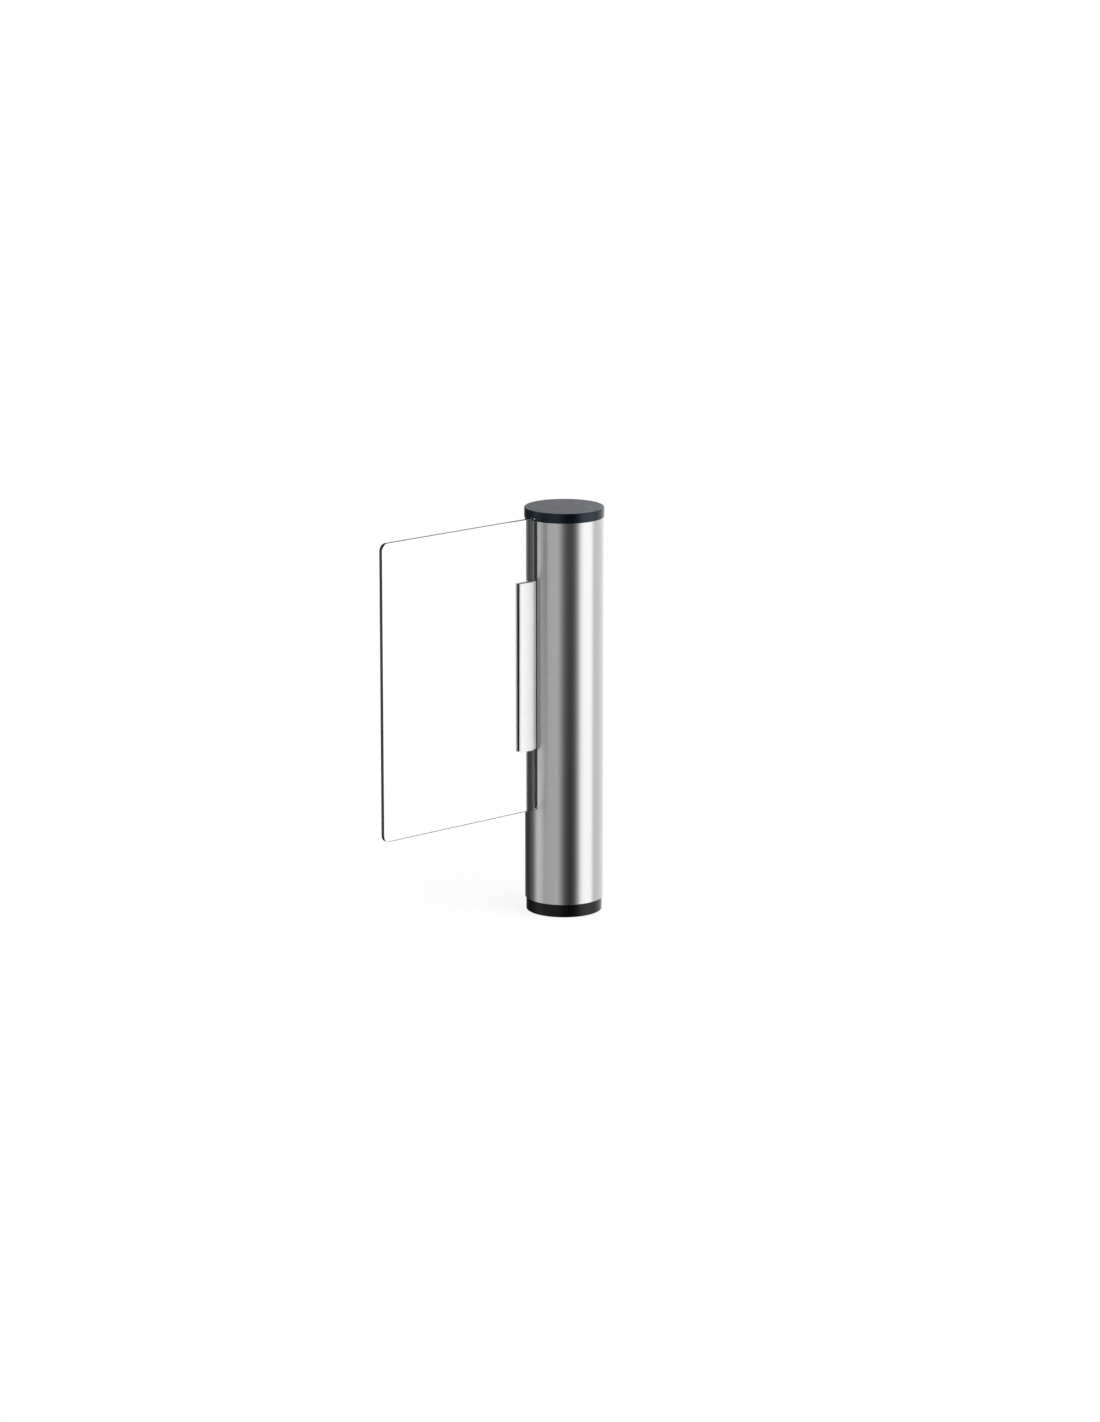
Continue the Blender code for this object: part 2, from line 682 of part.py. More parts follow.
def build_column():
    """The welded core: pipe, turned seat of the lower bearing and the chassis plate on top."""
    shoulder_top = SEAT_RISE
    shoulder_foot = shoulder_top - SHOULDER_HEIGHT
    seat_groove = shoulder_top + FIT + LOWER_BEARING_WIDTH
    groove_top = seat_groove + CIRCLIP_THICKNESS + 2.0 * FIT
    groove_radius = SEAT_RADIUS - CIRCLIP_DEPTH
    height = CHASSIS_LEVEL - COLUMN_FOOT
    underside = height - CHASSIS_THICKNESS
    section = [
        (CHASSIS_RADIUS, height),
        (CHASSIS_RADIUS, underside),
        (COLUMN_RADIUS, underside),
        (COLUMN_RADIUS, groove_top + SEAT_END),
        (SEAT_RADIUS, groove_top + SEAT_END),
        (SEAT_RADIUS, groove_top),
        (groove_radius, groove_top),
        (groove_radius, seat_groove),
        (SEAT_RADIUS, seat_groove),
        (SEAT_RADIUS, shoulder_top),
        (SEAT_RADIUS + SHOULDER_STEP, shoulder_top),
        (SEAT_RADIUS + SHOULDER_STEP, shoulder_foot),
        (COLUMN_RADIUS, shoulder_foot),
        (COLUMN_RADIUS, COLUMN_WELD),
        (COLUMN_RADIUS + COLUMN_WELD, 0.0),
        (COLUMN_BORE, 0.0),
        (COLUMN_BORE, underside),
        (CHASSIS_CABLE_RADIUS, underside),
        (CHASSIS_CABLE_RADIUS, height),
    ]
    column = turned("core_column", section, RING_SIDES, "zinc_steel", (0.0, 0.0, COLUMN_FOOT))
    depth = CHASSIS_THICKNESS + 2.0 * OVERRUN
    level = CHASSIS_LEVEL - CHASSIS_THICKNESS / 2
    for index, (x, y) in enumerate(pillar_places()):
        name = f"chassis_hole_{index + 1}"
        cut(column, rod(name, PILLAR_STUD_RADIUS + FIT, depth, HOLE_SIDES, (x, y, level)))

    inner = groove_radius + CIRCLIP_PLAY
    outer = inner + CIRCLIP_WIDTH
    opening = CIRCLIP_OPENING / 2
    limits = [(asin(opening / outer), outer, 1), (asin(opening / inner), inner, -1)]
    outline = []
    for limit, radius, way in limits:
        for step in range(RING_SIDES + 1):
            share = step / RING_SIDES
            if way < 0:
                share = 1.0 - share
            angle = limit + (2.0 * pi - 2.0 * limit) * share
            outline.append((radius * cos(angle), radius * sin(angle)))
    level = COLUMN_FOOT + seat_groove + FIT + CIRCLIP_THICKNESS / 2
    flat("bearing_circlip", [outline], CIRCLIP_THICKNESS, "black_oxide", (0.0, 0.0, level))


def build_chassis():
    """Pillars, gear plate, top plate with its bearing housing and the stop posts."""
    lower_length = GEAR_PLATE_LEVEL - CHASSIS_LEVEL - 2.0 * FIT
    upper_length = TOP_PLATE_LEVEL - GEAR_PLATE_TOP - 2.0 * FIT
    upper_stud = PLATE_THICKNESS + PILLAR_STUD_LENGTH
    bore = PILLAR_STUD_RADIUS + FIT
    levels = [
        ("lower_pillar", CHASSIS_LEVEL + FIT, lower_length, PILLAR_STUD_LENGTH, bore),
        ("upper_pillar", GEAR_PLATE_TOP + FIT, upper_length, upper_stud, HOLE_RADIUS),
    ]
    for prefix, foot, length, stud, hole in levels:
        section = [
            (0.0, length - PILLAR_HOLE_DEPTH),
            (hole, length - PILLAR_HOLE_DEPTH),
            (hole, length),
            (PILLAR_RADIUS, length),
            (PILLAR_RADIUS, 0.0),
            (PILLAR_STUD_RADIUS, 0.0),
            (PILLAR_STUD_RADIUS, -stud),
            (0.0, -stud),
        ]
        for index, (x, y) in enumerate(pillar_places()):
            turned(f"{prefix}_{index + 1}", section, HOLE_SIDES, "zinc_steel", (x, y, foot))

    holes = [circle(bore, HOLE_SIDES, place) for place in pillar_places()]
    holes.append(circle(SHAFT_TAIL_RADIUS + BUSH_PLAY + BUSH_WALL + FIT, PART_SIDES))
    holes.append(circle(GEARBOX_PILOT_RADIUS + FIT, PART_SIDES, (GEAR_DISTANCE, 0.0)))
    holes.append(circle(PLATE_CABLE_RADIUS, HOLE_SIDES, (0.0, PLATE_CABLE_PLACE)))
    holes.append(circle(PLATE_CABLE_RADIUS, HOLE_SIDES, (0.0, -PLATE_CABLE_PLACE)))
    rim = circle(CHASSIS_RADIUS, RING_SIDES)
    middle = (0.0, 0.0, GEAR_PLATE_LEVEL + PLATE_THICKNESS / 2)
    flat("gear_plate", [rim] + holes, PLATE_THICKNESS, "cast_aluminium", middle)

    seat = UPPER_BEARING_OUTER + FIT
    housing = seat + HOUSING_WALL
    housing_top = FIT + UPPER_BEARING_WIDTH + HOUSING_RIM
    section = [
        (housing, housing_top),
        (housing, PLATE_THICKNESS),
        (CHASSIS_RADIUS, PLATE_THICKNESS),
        (CHASSIS_RADIUS, 0.0),
        (housing, 0.0),
        (housing, -HOUSING_LIP),
        (seat - HOUSING_LIP_STEP, -HOUSING_LIP),
        (seat - HOUSING_LIP_STEP, 0.0),
        (seat, 0.0),
        (seat, housing_top),
    ]
    place = (0.0, 0.0, TOP_PLATE_LEVEL)
    plate = turned("top_plate", section, RING_SIDES, "cast_aluminium", place)
    depth = PLATE_THICKNESS + 2.0 * OVERRUN
    level = TOP_PLATE_LEVEL + PLATE_THICKNESS / 2
    for index, (x, y) in enumerate(pillar_places()):
        cut(plate, rod(f"top_hole_{index + 1}", HOLE_RADIUS, depth, HOLE_SIDES, (x, y, level)))
    post_top = TOP_PLATE_TOP + FIT + BUFFER_HEIGHT + BUFFER_POST_EXTRA
    post_foot = TOP_PLATE_LEVEL + PLATE_THICKNESS / 2
    post_length = post_top - post_foot
    for side, name in ((1.0, "left"), (-1.0, "right")):
        place = (BUFFER_OFFSET, side * LUG_PITCH, post_foot + post_length / 2)
        join(plate, rod(f"stop_post_{name}", BUFFER_POST_RADIUS, post_length, HOLE_SIDES, place))
        build_buffer(f"stop_buffer_{name}", side)

    head = SCREW_RADIUS * PAN_HEAD_SHARE
    section = [
        (0.0, SCREW_RADIUS * PAN_HEIGHT_SHARE),
        (head, SCREW_RADIUS * PAN_HEIGHT_SHARE),
        (head, 0.0),
        (SCREW_RADIUS, 0.0),
        (SCREW_RADIUS, -TOP_SCREW_LENGTH),
        (0.0, -TOP_SCREW_LENGTH),
    ]
    for index, (x, y) in enumerate(pillar_places()):
        place = (x, y, TOP_PLATE_TOP + FIT)
        turned(f"top_plate_screw_{index + 1}", section, HOLE_SIDES, "zinc_steel", place)


def build_buffer(name, side):
    """A rubber tube round its stop post."""
    bore = BUFFER_POST_RADIUS + FIT
    section = [
        (BUFFER_RADIUS, BUFFER_HEIGHT),
        (BUFFER_RADIUS, 0.0),
        (bore, 0.0),
        (bore, BUFFER_HEIGHT),
    ]
    place = (BUFFER_OFFSET, side * LUG_PITCH, TOP_PLATE_TOP + FIT)
    turned(name, section, HOLE_SIDES, "black_rubber", place)


def build_bush():
    """The flanged bronze bush that guides the shaft's lower end."""
    bore = SHAFT_TAIL_RADIUS + BUSH_PLAY
    outer = bore + BUSH_WALL
    flange_foot = PLATE_THICKNESS + FIT
    section = [
        (outer + BUSH_FLANGE_WIDTH, flange_foot + BUSH_FLANGE),
        (outer + BUSH_FLANGE_WIDTH, flange_foot),
        (outer, flange_foot),
        (outer, 0.0),
        (bore, 0.0),
        (bore, flange_foot + BUSH_FLANGE),
    ]
    turned("pilot_bush", section, PART_SIDES, "bronze", (0.0, 0.0, GEAR_PLATE_LEVEL))


def build_drive():
    """Planetary gearbox, motor and holding brake in one line under the gear plate, and the angle sensor."""
    top = GEARBOX_HEIGHT
    pilot = top + GEARBOX_PILOT_HEIGHT
    bore = OUTPUT_RADIUS + FIT
    floor = pilot - OUTPUT_DEPTH - FIT
    section = [
        (0.0, floor),
        (bore, floor),
        (bore, pilot),
        (GEARBOX_PILOT_RADIUS, pilot),
        (GEARBOX_PILOT_RADIUS, top),
        (GEARBOX_RADIUS, top),
    ]
    for first, last in (GEARBOX_GROOVE_SHARES[:2], GEARBOX_GROOVE_SHARES[2:]):
        section += [
            (GEARBOX_RADIUS, top - GEARBOX_HEIGHT * first),
            (GEARBOX_RADIUS - GEARBOX_GROOVE, top - GEARBOX_HEIGHT * first),
            (GEARBOX_RADIUS - GEARBOX_GROOVE, top - GEARBOX_HEIGHT * last),
            (GEARBOX_RADIUS, top - GEARBOX_HEIGHT * last),
        ]
    section += [(GEARBOX_RADIUS, 0.0), (0.0, 0.0)]
    gearbox_foot = GEAR_PLATE_LEVEL - FIT - GEARBOX_HEIGHT
    place = (GEAR_DISTANCE, 0.0, gearbox_foot)
    turned("gearbox", section, PART_SIDES, "cast_aluminium", place)

    waist = GEARBOX_RADIUS - MOTOR_WAIST
    section = [
        (0.0, MOTOR_HEIGHT),
        (GEARBOX_RADIUS, MOTOR_HEIGHT),
        (GEARBOX_RADIUS, MOTOR_HEIGHT - MOTOR_BELL),
        (waist, MOTOR_HEIGHT - MOTOR_BELL),
        (waist, MOTOR_BELL),
        (GEARBOX_RADIUS, MOTOR_BELL),
        (GEARBOX_RADIUS, 0.0),
        (0.0, 0.0),
    ]
    motor_foot = gearbox_foot - FIT - MOTOR_HEIGHT
    turned("drive_motor", section, PART_SIDES, "black_oxide", (GEAR_DISTANCE, 0.0, motor_foot))

    section = [
        (0.0, BRAKE_HEIGHT),
        (BRAKE_RADIUS, BRAKE_HEIGHT),
        (BRAKE_RADIUS, BRAKE_CHAMFER),
        (BRAKE_RADIUS - BRAKE_CHAMFER, 0.0),
        (0.0, 0.0),
    ]
    brake_foot = motor_foot - FIT - BRAKE_HEIGHT
    turned("motor_brake", section, PART_SIDES, "zinc_steel", (GEAR_DISTANCE, 0.0, brake_foot))

    inner = SHAFT_TAIL_RADIUS + SENSOR_CLEARANCE
    outer = inner + SENSOR_LEG
    head = GEAR_PLATE_LEVEL - FIT
    face = SHAFT_FOOT - SENSOR_DROP
    outline = [
        (-outer, head),
        (-outer, face - SENSOR_HEIGHT),
        (outer, face - SENSOR_HEIGHT),
        (outer, head),
        (inner, head),
        (inner, face),
        (-inner, face),
        (-inner, head),
    ]
    sheet = (pi / 2, 0.0, pi / 2)
    flat("angle_sensor", [outline], SENSOR_WIDTH, "grey_plastic", POST_AXIS, None, sheet)


def build_pinion(parent):
    """The gearbox's output shaft with the pinion on it, turning about its own axis."""
    shaft_foot = GEAR_PLATE_LEVEL - FIT + GEARBOX_PILOT_HEIGHT - OUTPUT_DEPTH
    collar_foot = GEAR_FOOT - SHAFT_COLLAR
    section = [
        (0.0, GEAR_FOOT + GEAR_WIDTH / 2 - shaft_foot),
        (OUTPUT_COLLAR_RADIUS, GEAR_FOOT + GEAR_WIDTH / 2 - shaft_foot),
        (OUTPUT_COLLAR_RADIUS, collar_foot - shaft_foot),
        (OUTPUT_RADIUS, collar_foot - shaft_foot),
        (OUTPUT_RADIUS, 0.0),
        (0.0, 0.0),
    ]
    middle = (GEAR_DISTANCE, 0.0, GEAR_FOOT + GEAR_WIDTH / 2)
    outline = gear_outline(PINION_TEETH, pi / PINION_TEETH, PINION_FLANK_STEPS)
    width = GEAR_WIDTH + 2.0 * PINION_EXTRA
    pinion = flat("output_pinion", [outline], width, "gear_steel", middle, parent)
    place = (GEAR_DISTANCE, 0.0, shaft_foot)
    join(pinion, turned("output_shaft", section, PART_SIDES, None, place))


def build_shaft(parent):
    """Main shaft, main gear and locknut, which turn with the sleeve."""
    collar_top = GEAR_FOOT - FIT
    collar_foot = collar_top - SHAFT_COLLAR
    nut_foot = HUB_TOP + FIT
    shaft_top = nut_foot + LOCKNUT_HEIGHT + SHAFT_END
    levels = [
        (0.0, shaft_top),
        (SHAFT_RADIUS - FIT, shaft_top),
        (SHAFT_RADIUS - FIT, SHAFT_FLANGE_TOP),
        (SHAFT_FLANGE_RADIUS, SHAFT_FLANGE_TOP),
        (SHAFT_FLANGE_RADIUS, SHAFT_FLANGE_TOP - SHAFT_FLANGE),
        (SHAFT_RADIUS, SHAFT_FLANGE_TOP - SHAFT_FLANGE),
        (SHAFT_RADIUS, collar_top),
        (SHAFT_COLLAR_RADIUS, collar_top),
        (SHAFT_COLLAR_RADIUS, collar_foot),
        (SHAFT_TAIL_RADIUS, collar_foot),
        (SHAFT_TAIL_RADIUS, SHAFT_FOOT),
        (0.0, SHAFT_FOOT),
    ]
    turned("main_shaft", levels, PART_SIDES, "gear_steel", POST_AXIS, parent)

    web = (GEAR_MODULE * GEAR_TEETH / 2 + SHAFT_RADIUS) / 2
    rim = gear_outline(GEAR_TEETH, 0.0, GEAR_FLANK_STEPS)
    outlines = [rim, circle(SHAFT_RADIUS + FIT, PART_SIDES)]
    outlines += [circle(GEAR_HOLE_RADIUS, HOLE_SIDES, place) for place in circle(web, GEAR_HOLES)]
    middle = (0.0, 0.0, GEAR_FOOT + GEAR_WIDTH / 2)
    flat("main_gear", outlines, GEAR_WIDTH, "gear_steel", middle, parent)

    outlines = [circle(LOCKNUT_RADIUS, LOCKNUT_SIDES), circle(SHAFT_RADIUS, PART_SIDES)]
    middle = (0.0, 0.0, nut_foot + LOCKNUT_HEIGHT / 2)
    flat("hub_locknut", outlines, LOCKNUT_HEIGHT, "black_oxide", middle, parent)


def build_hubs(parent):
    """The lower hub on its bearing, and the top hub with the stop lug under it."""
    lip = LOWER_BEARING_OUTER - LIP_OVERLAP
    bore = LOWER_BEARING_OUTER + FIT
    lip_foot = LOWER_BEARING_TOP + FIT
    section = [
        (HUB_RADIUS, LOWER_HUB_TOP),
        (HUB_RADIUS, LOWER_HUB_FOOT),
        (bore, LOWER_HUB_FOOT),
        (bore, lip_foot),
        (lip, lip_foot),
        (lip, LOWER_HUB_TOP),
    ]
    lower = turned("lower_hub", section, RING_SIDES, "cast_aluminium", POST_AXIS, parent)
    head = (-SPINE_MIDDLE, 0.0, LOWER_HUB_FOOT)
    depth = LOWER_HUB_TOP - LOWER_HUB_FOOT + OVERRUN
    cut(lower, screw_seat("lower_hub_seat", depth, head, UPSIDE_DOWN))

    rim = HUB_RADIUS - HUB_RIM_WALL
    rim_foot = HUB_TOP - HUB_RIM_DEPTH
    section = [
        (HUB_RADIUS, HUB_TOP),
        (HUB_RADIUS, rim_foot),
        (rim, rim_foot),
        (rim, HUB_WEB_FOOT),
        (SHAFT_RADIUS, HUB_WEB_FOOT),
        (SHAFT_RADIUS, HUB_TOP),
        (HUB_BOSS_RADIUS, HUB_TOP),
        (HUB_BOSS_RADIUS, HUB_WEB_TOP),
        (rim, HUB_WEB_TOP),
        (rim, HUB_TOP),
    ]
    top = turned("top_hub", section, RING_SIDES, "cast_aluminium", POST_AXIS, parent)
    lug_top = (HUB_WEB_FOOT + HUB_WEB_TOP) / 2
    lug_size = (LUG_LENGTH, LUG_WIDTH, lug_top - LUG_FOOT)
    lug_place = (-LUG_PITCH, 0.0, (lug_top + LUG_FOOT) / 2)
    join(top, block("stop_lug", lug_size, None, lug_place))
    pocket_size = (2.0 * SPINE_THICKNESS, SPINE_WIDTH + 2.0 * FIT, HUB_RIM_DEPTH)
    pocket_x = -(SPINE_BACK - FIT + SPINE_THICKNESS)
    pocket_place = (pocket_x, 0.0, HUB_WEB_FOOT - HUB_RIM_DEPTH / 2)
    cut(top, block("spine_pocket", pocket_size, None, pocket_place))
    depth = HUB_TOP - HUB_WEB_FOOT + OVERRUN
    cut(top, screw_seat("top_hub_seat", depth, (-SPINE_MIDDLE, 0.0, HUB_TOP), POST_AXIS))


def build_spine(parent):
    """The upright bar inside the sleeve that carries the clamp, with its two end screws."""
    foot = LOWER_HUB_TOP + FIT
    top = HUB_WEB_FOOT - FIT
    size = (SPINE_THICKNESS, SPINE_WIDTH, top - foot)
    spine = block("spine", size, "zinc_steel", (-SPINE_MIDDLE, 0.0, (top + foot) / 2), parent)
    for index, level in enumerate(clamp_levels(NECK_SCREW_SHARES)):
        place = (-SPINE_BACK, 0.0, level)
        depth = SPINE_THICKNESS + OVERRUN
        cut(spine, screw_seat(f"neck_seat_{index + 1}", depth, place, ALONG_X))
        screw(f"neck_screw_{index + 1}", NECK_SCREW_LENGTH, (-SPINE_BACK - FIT, 0.0, level), ALONG_X, parent)
    hole = SPINE_SCREW_GRIP + SCREW_BLIND
    ends = [
        ("lower", foot, LOWER_HUB_FOOT + FIT, UPSIDE_DOWN, 1.0),
        ("upper", top, HUB_TOP - FIT, POST_AXIS, -1.0),
    ]
    for name, end, head, turn, way in ends:
        middle = (-SPINE_MIDDLE, 0.0, end + way * (hole - OVERRUN) / 2)
        cut(spine, rod(f"{name}_spine_hole", HOLE_RADIUS, hole + OVERRUN, HOLE_SIDES, middle))
        length = abs(end - head) + SPINE_SCREW_GRIP
        screw(f"spine_screw_{name}", length, (-SPINE_MIDDLE, 0.0, head), turn, parent)


def build_sleeve(parent):
    """The brushed tube with its slot, which is open at the top under the cap."""
    section = [
        (SLEEVE_RADIUS, SLEEVE_HEIGHT),
        (SLEEVE_RADIUS, 0.0),
        (SLEEVE_BORE, 0.0),
        (SLEEVE_BORE, SLEEVE_HEIGHT),
    ]
    place = (0.0, 0.0, SLEEVE_FOOT)
    sleeve = turned("sleeve", section, SHELL_SIDES, "brushed_stainless", place, parent)
    slot_height = SLEEVE_TOP - SLOT_BOTTOM + OVERRUN
    size = (SLEEVE_RADIUS, SLOT_WIDTH, slot_height)
    middle = (-SLEEVE_RADIUS, 0.0, SLOT_BOTTOM + slot_height / 2)
    cut(sleeve, block("slot", size, None, middle))

    inner = SLEEVE_BORE
    outer = GLASS_INNER - FIT
    foot = SLOT_BOTTOM + FIT
    height = SLEEVE_TOP - FIT - foot
    size = (outer - inner, SLOT_WIDTH - 2.0 * FIT, height)
    middle = (-(inner + outer) / 2, 0.0, foot + height / 2)
    seal = block("slot_seal", size, "black_rubber", middle, parent)
    depth = outer - inner + 2.0 * OVERRUN
    window = (depth, NECK_THICKNESS + 2.0 * FIT, CLAMP_HEIGHT + 2.0 * FIT)
    middle = (-(inner + outer) / 2, 0.0, CLAMP_BOTTOM + CLAMP_HEIGHT / 2)
    cut(seal, block("neck_window", window, None, middle))


def build_cap(parent):
    """The black cap with its skirt inside the sleeve, and the flat disc let into its top."""
    foot = SLEEVE_TOP + FIT
    skirt = SLEEVE_BORE - FIT
    skirt_foot = HUB_TOP + FIT
    recess = DISC_RADIUS + FIT
    recess_floor = GATE_HEIGHT - DISC_THICKNESS - FIT
    section = [
        (0.0, recess_floor),
        (recess, recess_floor),
        (recess, GATE_HEIGHT),
        (CAP_RADIUS - CAP_CHAMFER, GATE_HEIGHT),
        (CAP_RADIUS, GATE_HEIGHT - CAP_CHAMFER),
        (CAP_RADIUS, foot),
        (skirt, foot),
        (skirt, skirt_foot),
        (skirt - CAP_SKIRT_WALL, skirt_foot),
        (skirt - CAP_SKIRT_WALL, recess_floor - CAP_ROOF),
        (0.0, recess_floor - CAP_ROOF),
    ]
    turned("cap", section, SHELL_SIDES, "black_cap", POST_AXIS, parent)
    middle = (0.0, 0.0, GATE_HEIGHT - DISC_THICKNESS / 2)
    flat("cap_disc", [circle(DISC_RADIUS, SHELL_SIDES)], DISC_THICKNESS, "cap_face", middle, parent)


def build_clamp(parent):
    """Clamp body with its neck through the slot, near plate, two gaskets and six screws."""
    half_neck = NECK_THICKNESS / 2
    outline = [
        (-NECK_END, -half_neck),
        (-NECK_END, half_neck),
        (-CLAMP_INNER, half_neck),
        (-CLAMP_INNER, CLAMP_FACE - CLAMP_CHAMFER),
        (-CLAMP_INNER - CLAMP_CHAMFER, CLAMP_FACE),
        (-CLAMP_OUTER + CLAMP_CHAMFER, CLAMP_FACE),
        (-CLAMP_OUTER, CLAMP_FACE - CLAMP_CHAMFER),
        (-CLAMP_OUTER, PLATE_FACE),
        (-WEB_OUTER, PLATE_FACE),
        (-WEB_OUTER, -WEB_FACE),
        (-CLAMP_INNER, -WEB_FACE),
        (-CLAMP_INNER, -half_neck),
    ]
    middle = CLAMP_BOTTOM + CLAMP_HEIGHT / 2
    body = flat("clamp_body", [outline], CLAMP_HEIGHT, "clamp_steel", (0.0, 0.0, middle), parent)
    for index, level in enumerate(clamp_levels(NECK_SCREW_SHARES)):
        end = SPINE_BACK + FIT + NECK_SCREW_LENGTH + SCREW_TIP_GAP
        length = end - NECK_END + OVERRUN
        place = (-(end - length / 2), 0.0, level)
        cut(body, rod(f"neck_hole_{index + 1}", HOLE_RADIUS, length, HOLE_SIDES, place, ALONG_X))

    size = (CLAMP_WIDTH, CLAMP_PLATE, CLAMP_HEIGHT)
    place = (-(CLAMP_INNER + CLAMP_OUTER) / 2, -(PLATE_FACE + CLAMP_FACE) / 2, middle)
    plate = block("clamp_plate", size, "clamp_steel", place, parent, CLAMP_CHAMFER)

    web_place = (CLAMP_INNER + WEB_OUTER) / 2
    tip = CLAMP_FACE - SCREW_BLIND - SCREW_TIP_GAP
    length = CLAMP_FACE - FIT + tip
    seat_depth = CLAMP_FACE + PLATE_FACE
    blind = CLAMP_PLATE - SCREW_BLIND + OVERRUN
    number = 0
    for x in (web_place, GLASS_SCREW_PLACE):
        for level in clamp_levels(CLAMP_SCREW_SHARES):
            number += 1
            head = (-x, CLAMP_FACE, level)
            cut(body, screw_seat(f"clamp_seat_{number}", seat_depth, head, ALONG_Y))
            mouth = (-x, -(CLAMP_FACE - SCREW_BLIND - blind / 2), level)
            cut(plate, rod(f"tapped_hole_{number}", HOLE_RADIUS, blind, HOLE_SIDES, mouth, ALONG_Y))
            screw(f"clamp_screw_{number}", length, (-x, CLAMP_FACE - FIT, level), ALONG_Y, parent)
    build_gaskets(parent)


def build_gaskets(parent):
    """The rubber sheets each side of the glass; the far one has bosses that line the glass holes."""
    inner = WEB_OUTER + NOTCH_SIDE_GAP
    outer = CLAMP_OUTER - GASKET_INSET
    foot = CLAMP_BOTTOM + GASKET_INSET
    top = CLAMP_TOP - GASKET_INSET
    sheet = [(-outer, foot), (-inner, foot), (-inner, top), (-outer, top)]
    levels = clamp_levels(CLAMP_SCREW_SHARES)
    holes = [circle(HOLE_RADIUS, HOLE_SIDES, (-GLASS_SCREW_PLACE, level)) for level in levels]
    middle = GASKET_FACE + GASKET_THICKNESS / 2
    near = (0.0, -middle, 0.0)
    far = (0.0, middle, 0.0)
    flat("gasket_near", [sheet] + holes, GASKET_THICKNESS, "black_rubber", near, parent, UPRIGHT_SHEET)
    gasket = flat("gasket_far", [sheet], GASKET_THICKNESS, "black_rubber", far, parent, UPRIGHT_SHEET)
    low = -GLASS_THICKNESS / 2
    length = middle - low
    bore_length = GASKET_FACE + GASKET_THICKNESS - low + 2.0 * OVERRUN
    for index, level in enumerate(levels):
        place = (-GLASS_SCREW_PLACE, low + length / 2, level)
        name = f"gasket_boss_{index + 1}"
        join(gasket, rod(name, GLASS_HOLE_RADIUS - FIT, length, PART_SIDES, place, ALONG_Y))
    for index, level in enumerate(levels):
        place = (-GLASS_SCREW_PLACE, low - OVERRUN + bore_length / 2, level)
        name = f"gasket_bore_{index + 1}"
        cut(gasket, rod(name, HOLE_RADIUS, bore_length, HOLE_SIDES, place, ALONG_Y))


def build_glass(parent):
    """The glass pane: rounded outer corners, a notch for the clamp's neck and three clamp holes."""
    notch = WEB_OUTER + NOTCH_SIDE_GAP
    notch_foot = CLAMP_BOTTOM - NOTCH_GAP
    notch_top = CLAMP_TOP + NOTCH_GAP
    corners = [
        (-GLASS_REACH, GLASS_BOTTOM, GLASS_CORNER),
        (-GLASS_INNER, GLASS_BOTTOM, GLASS_INNER_CORNER),
        (-GLASS_INNER, notch_foot, GLASS_INNER_CORNER),
        (-notch, notch_foot, NOTCH_CORNER),
        (-notch, notch_top, NOTCH_CORNER),
        (-GLASS_INNER, notch_top, GLASS_INNER_CORNER),
        (-GLASS_INNER, GLASS_TOP, GLASS_INNER_CORNER),
        (-GLASS_REACH, GLASS_TOP, GLASS_CORNER),
    ]
    outlines = [rounded(corners)]
    for level in clamp_levels(CLAMP_SCREW_SHARES):
        outlines.append(circle(GLASS_HOLE_RADIUS, PART_SIDES, (-GLASS_SCREW_PLACE, level)))
    flat("glass_wing", outlines, GLASS_THICKNESS, "clear_glass", POST_AXIS, parent, UPRIGHT_SHEET)


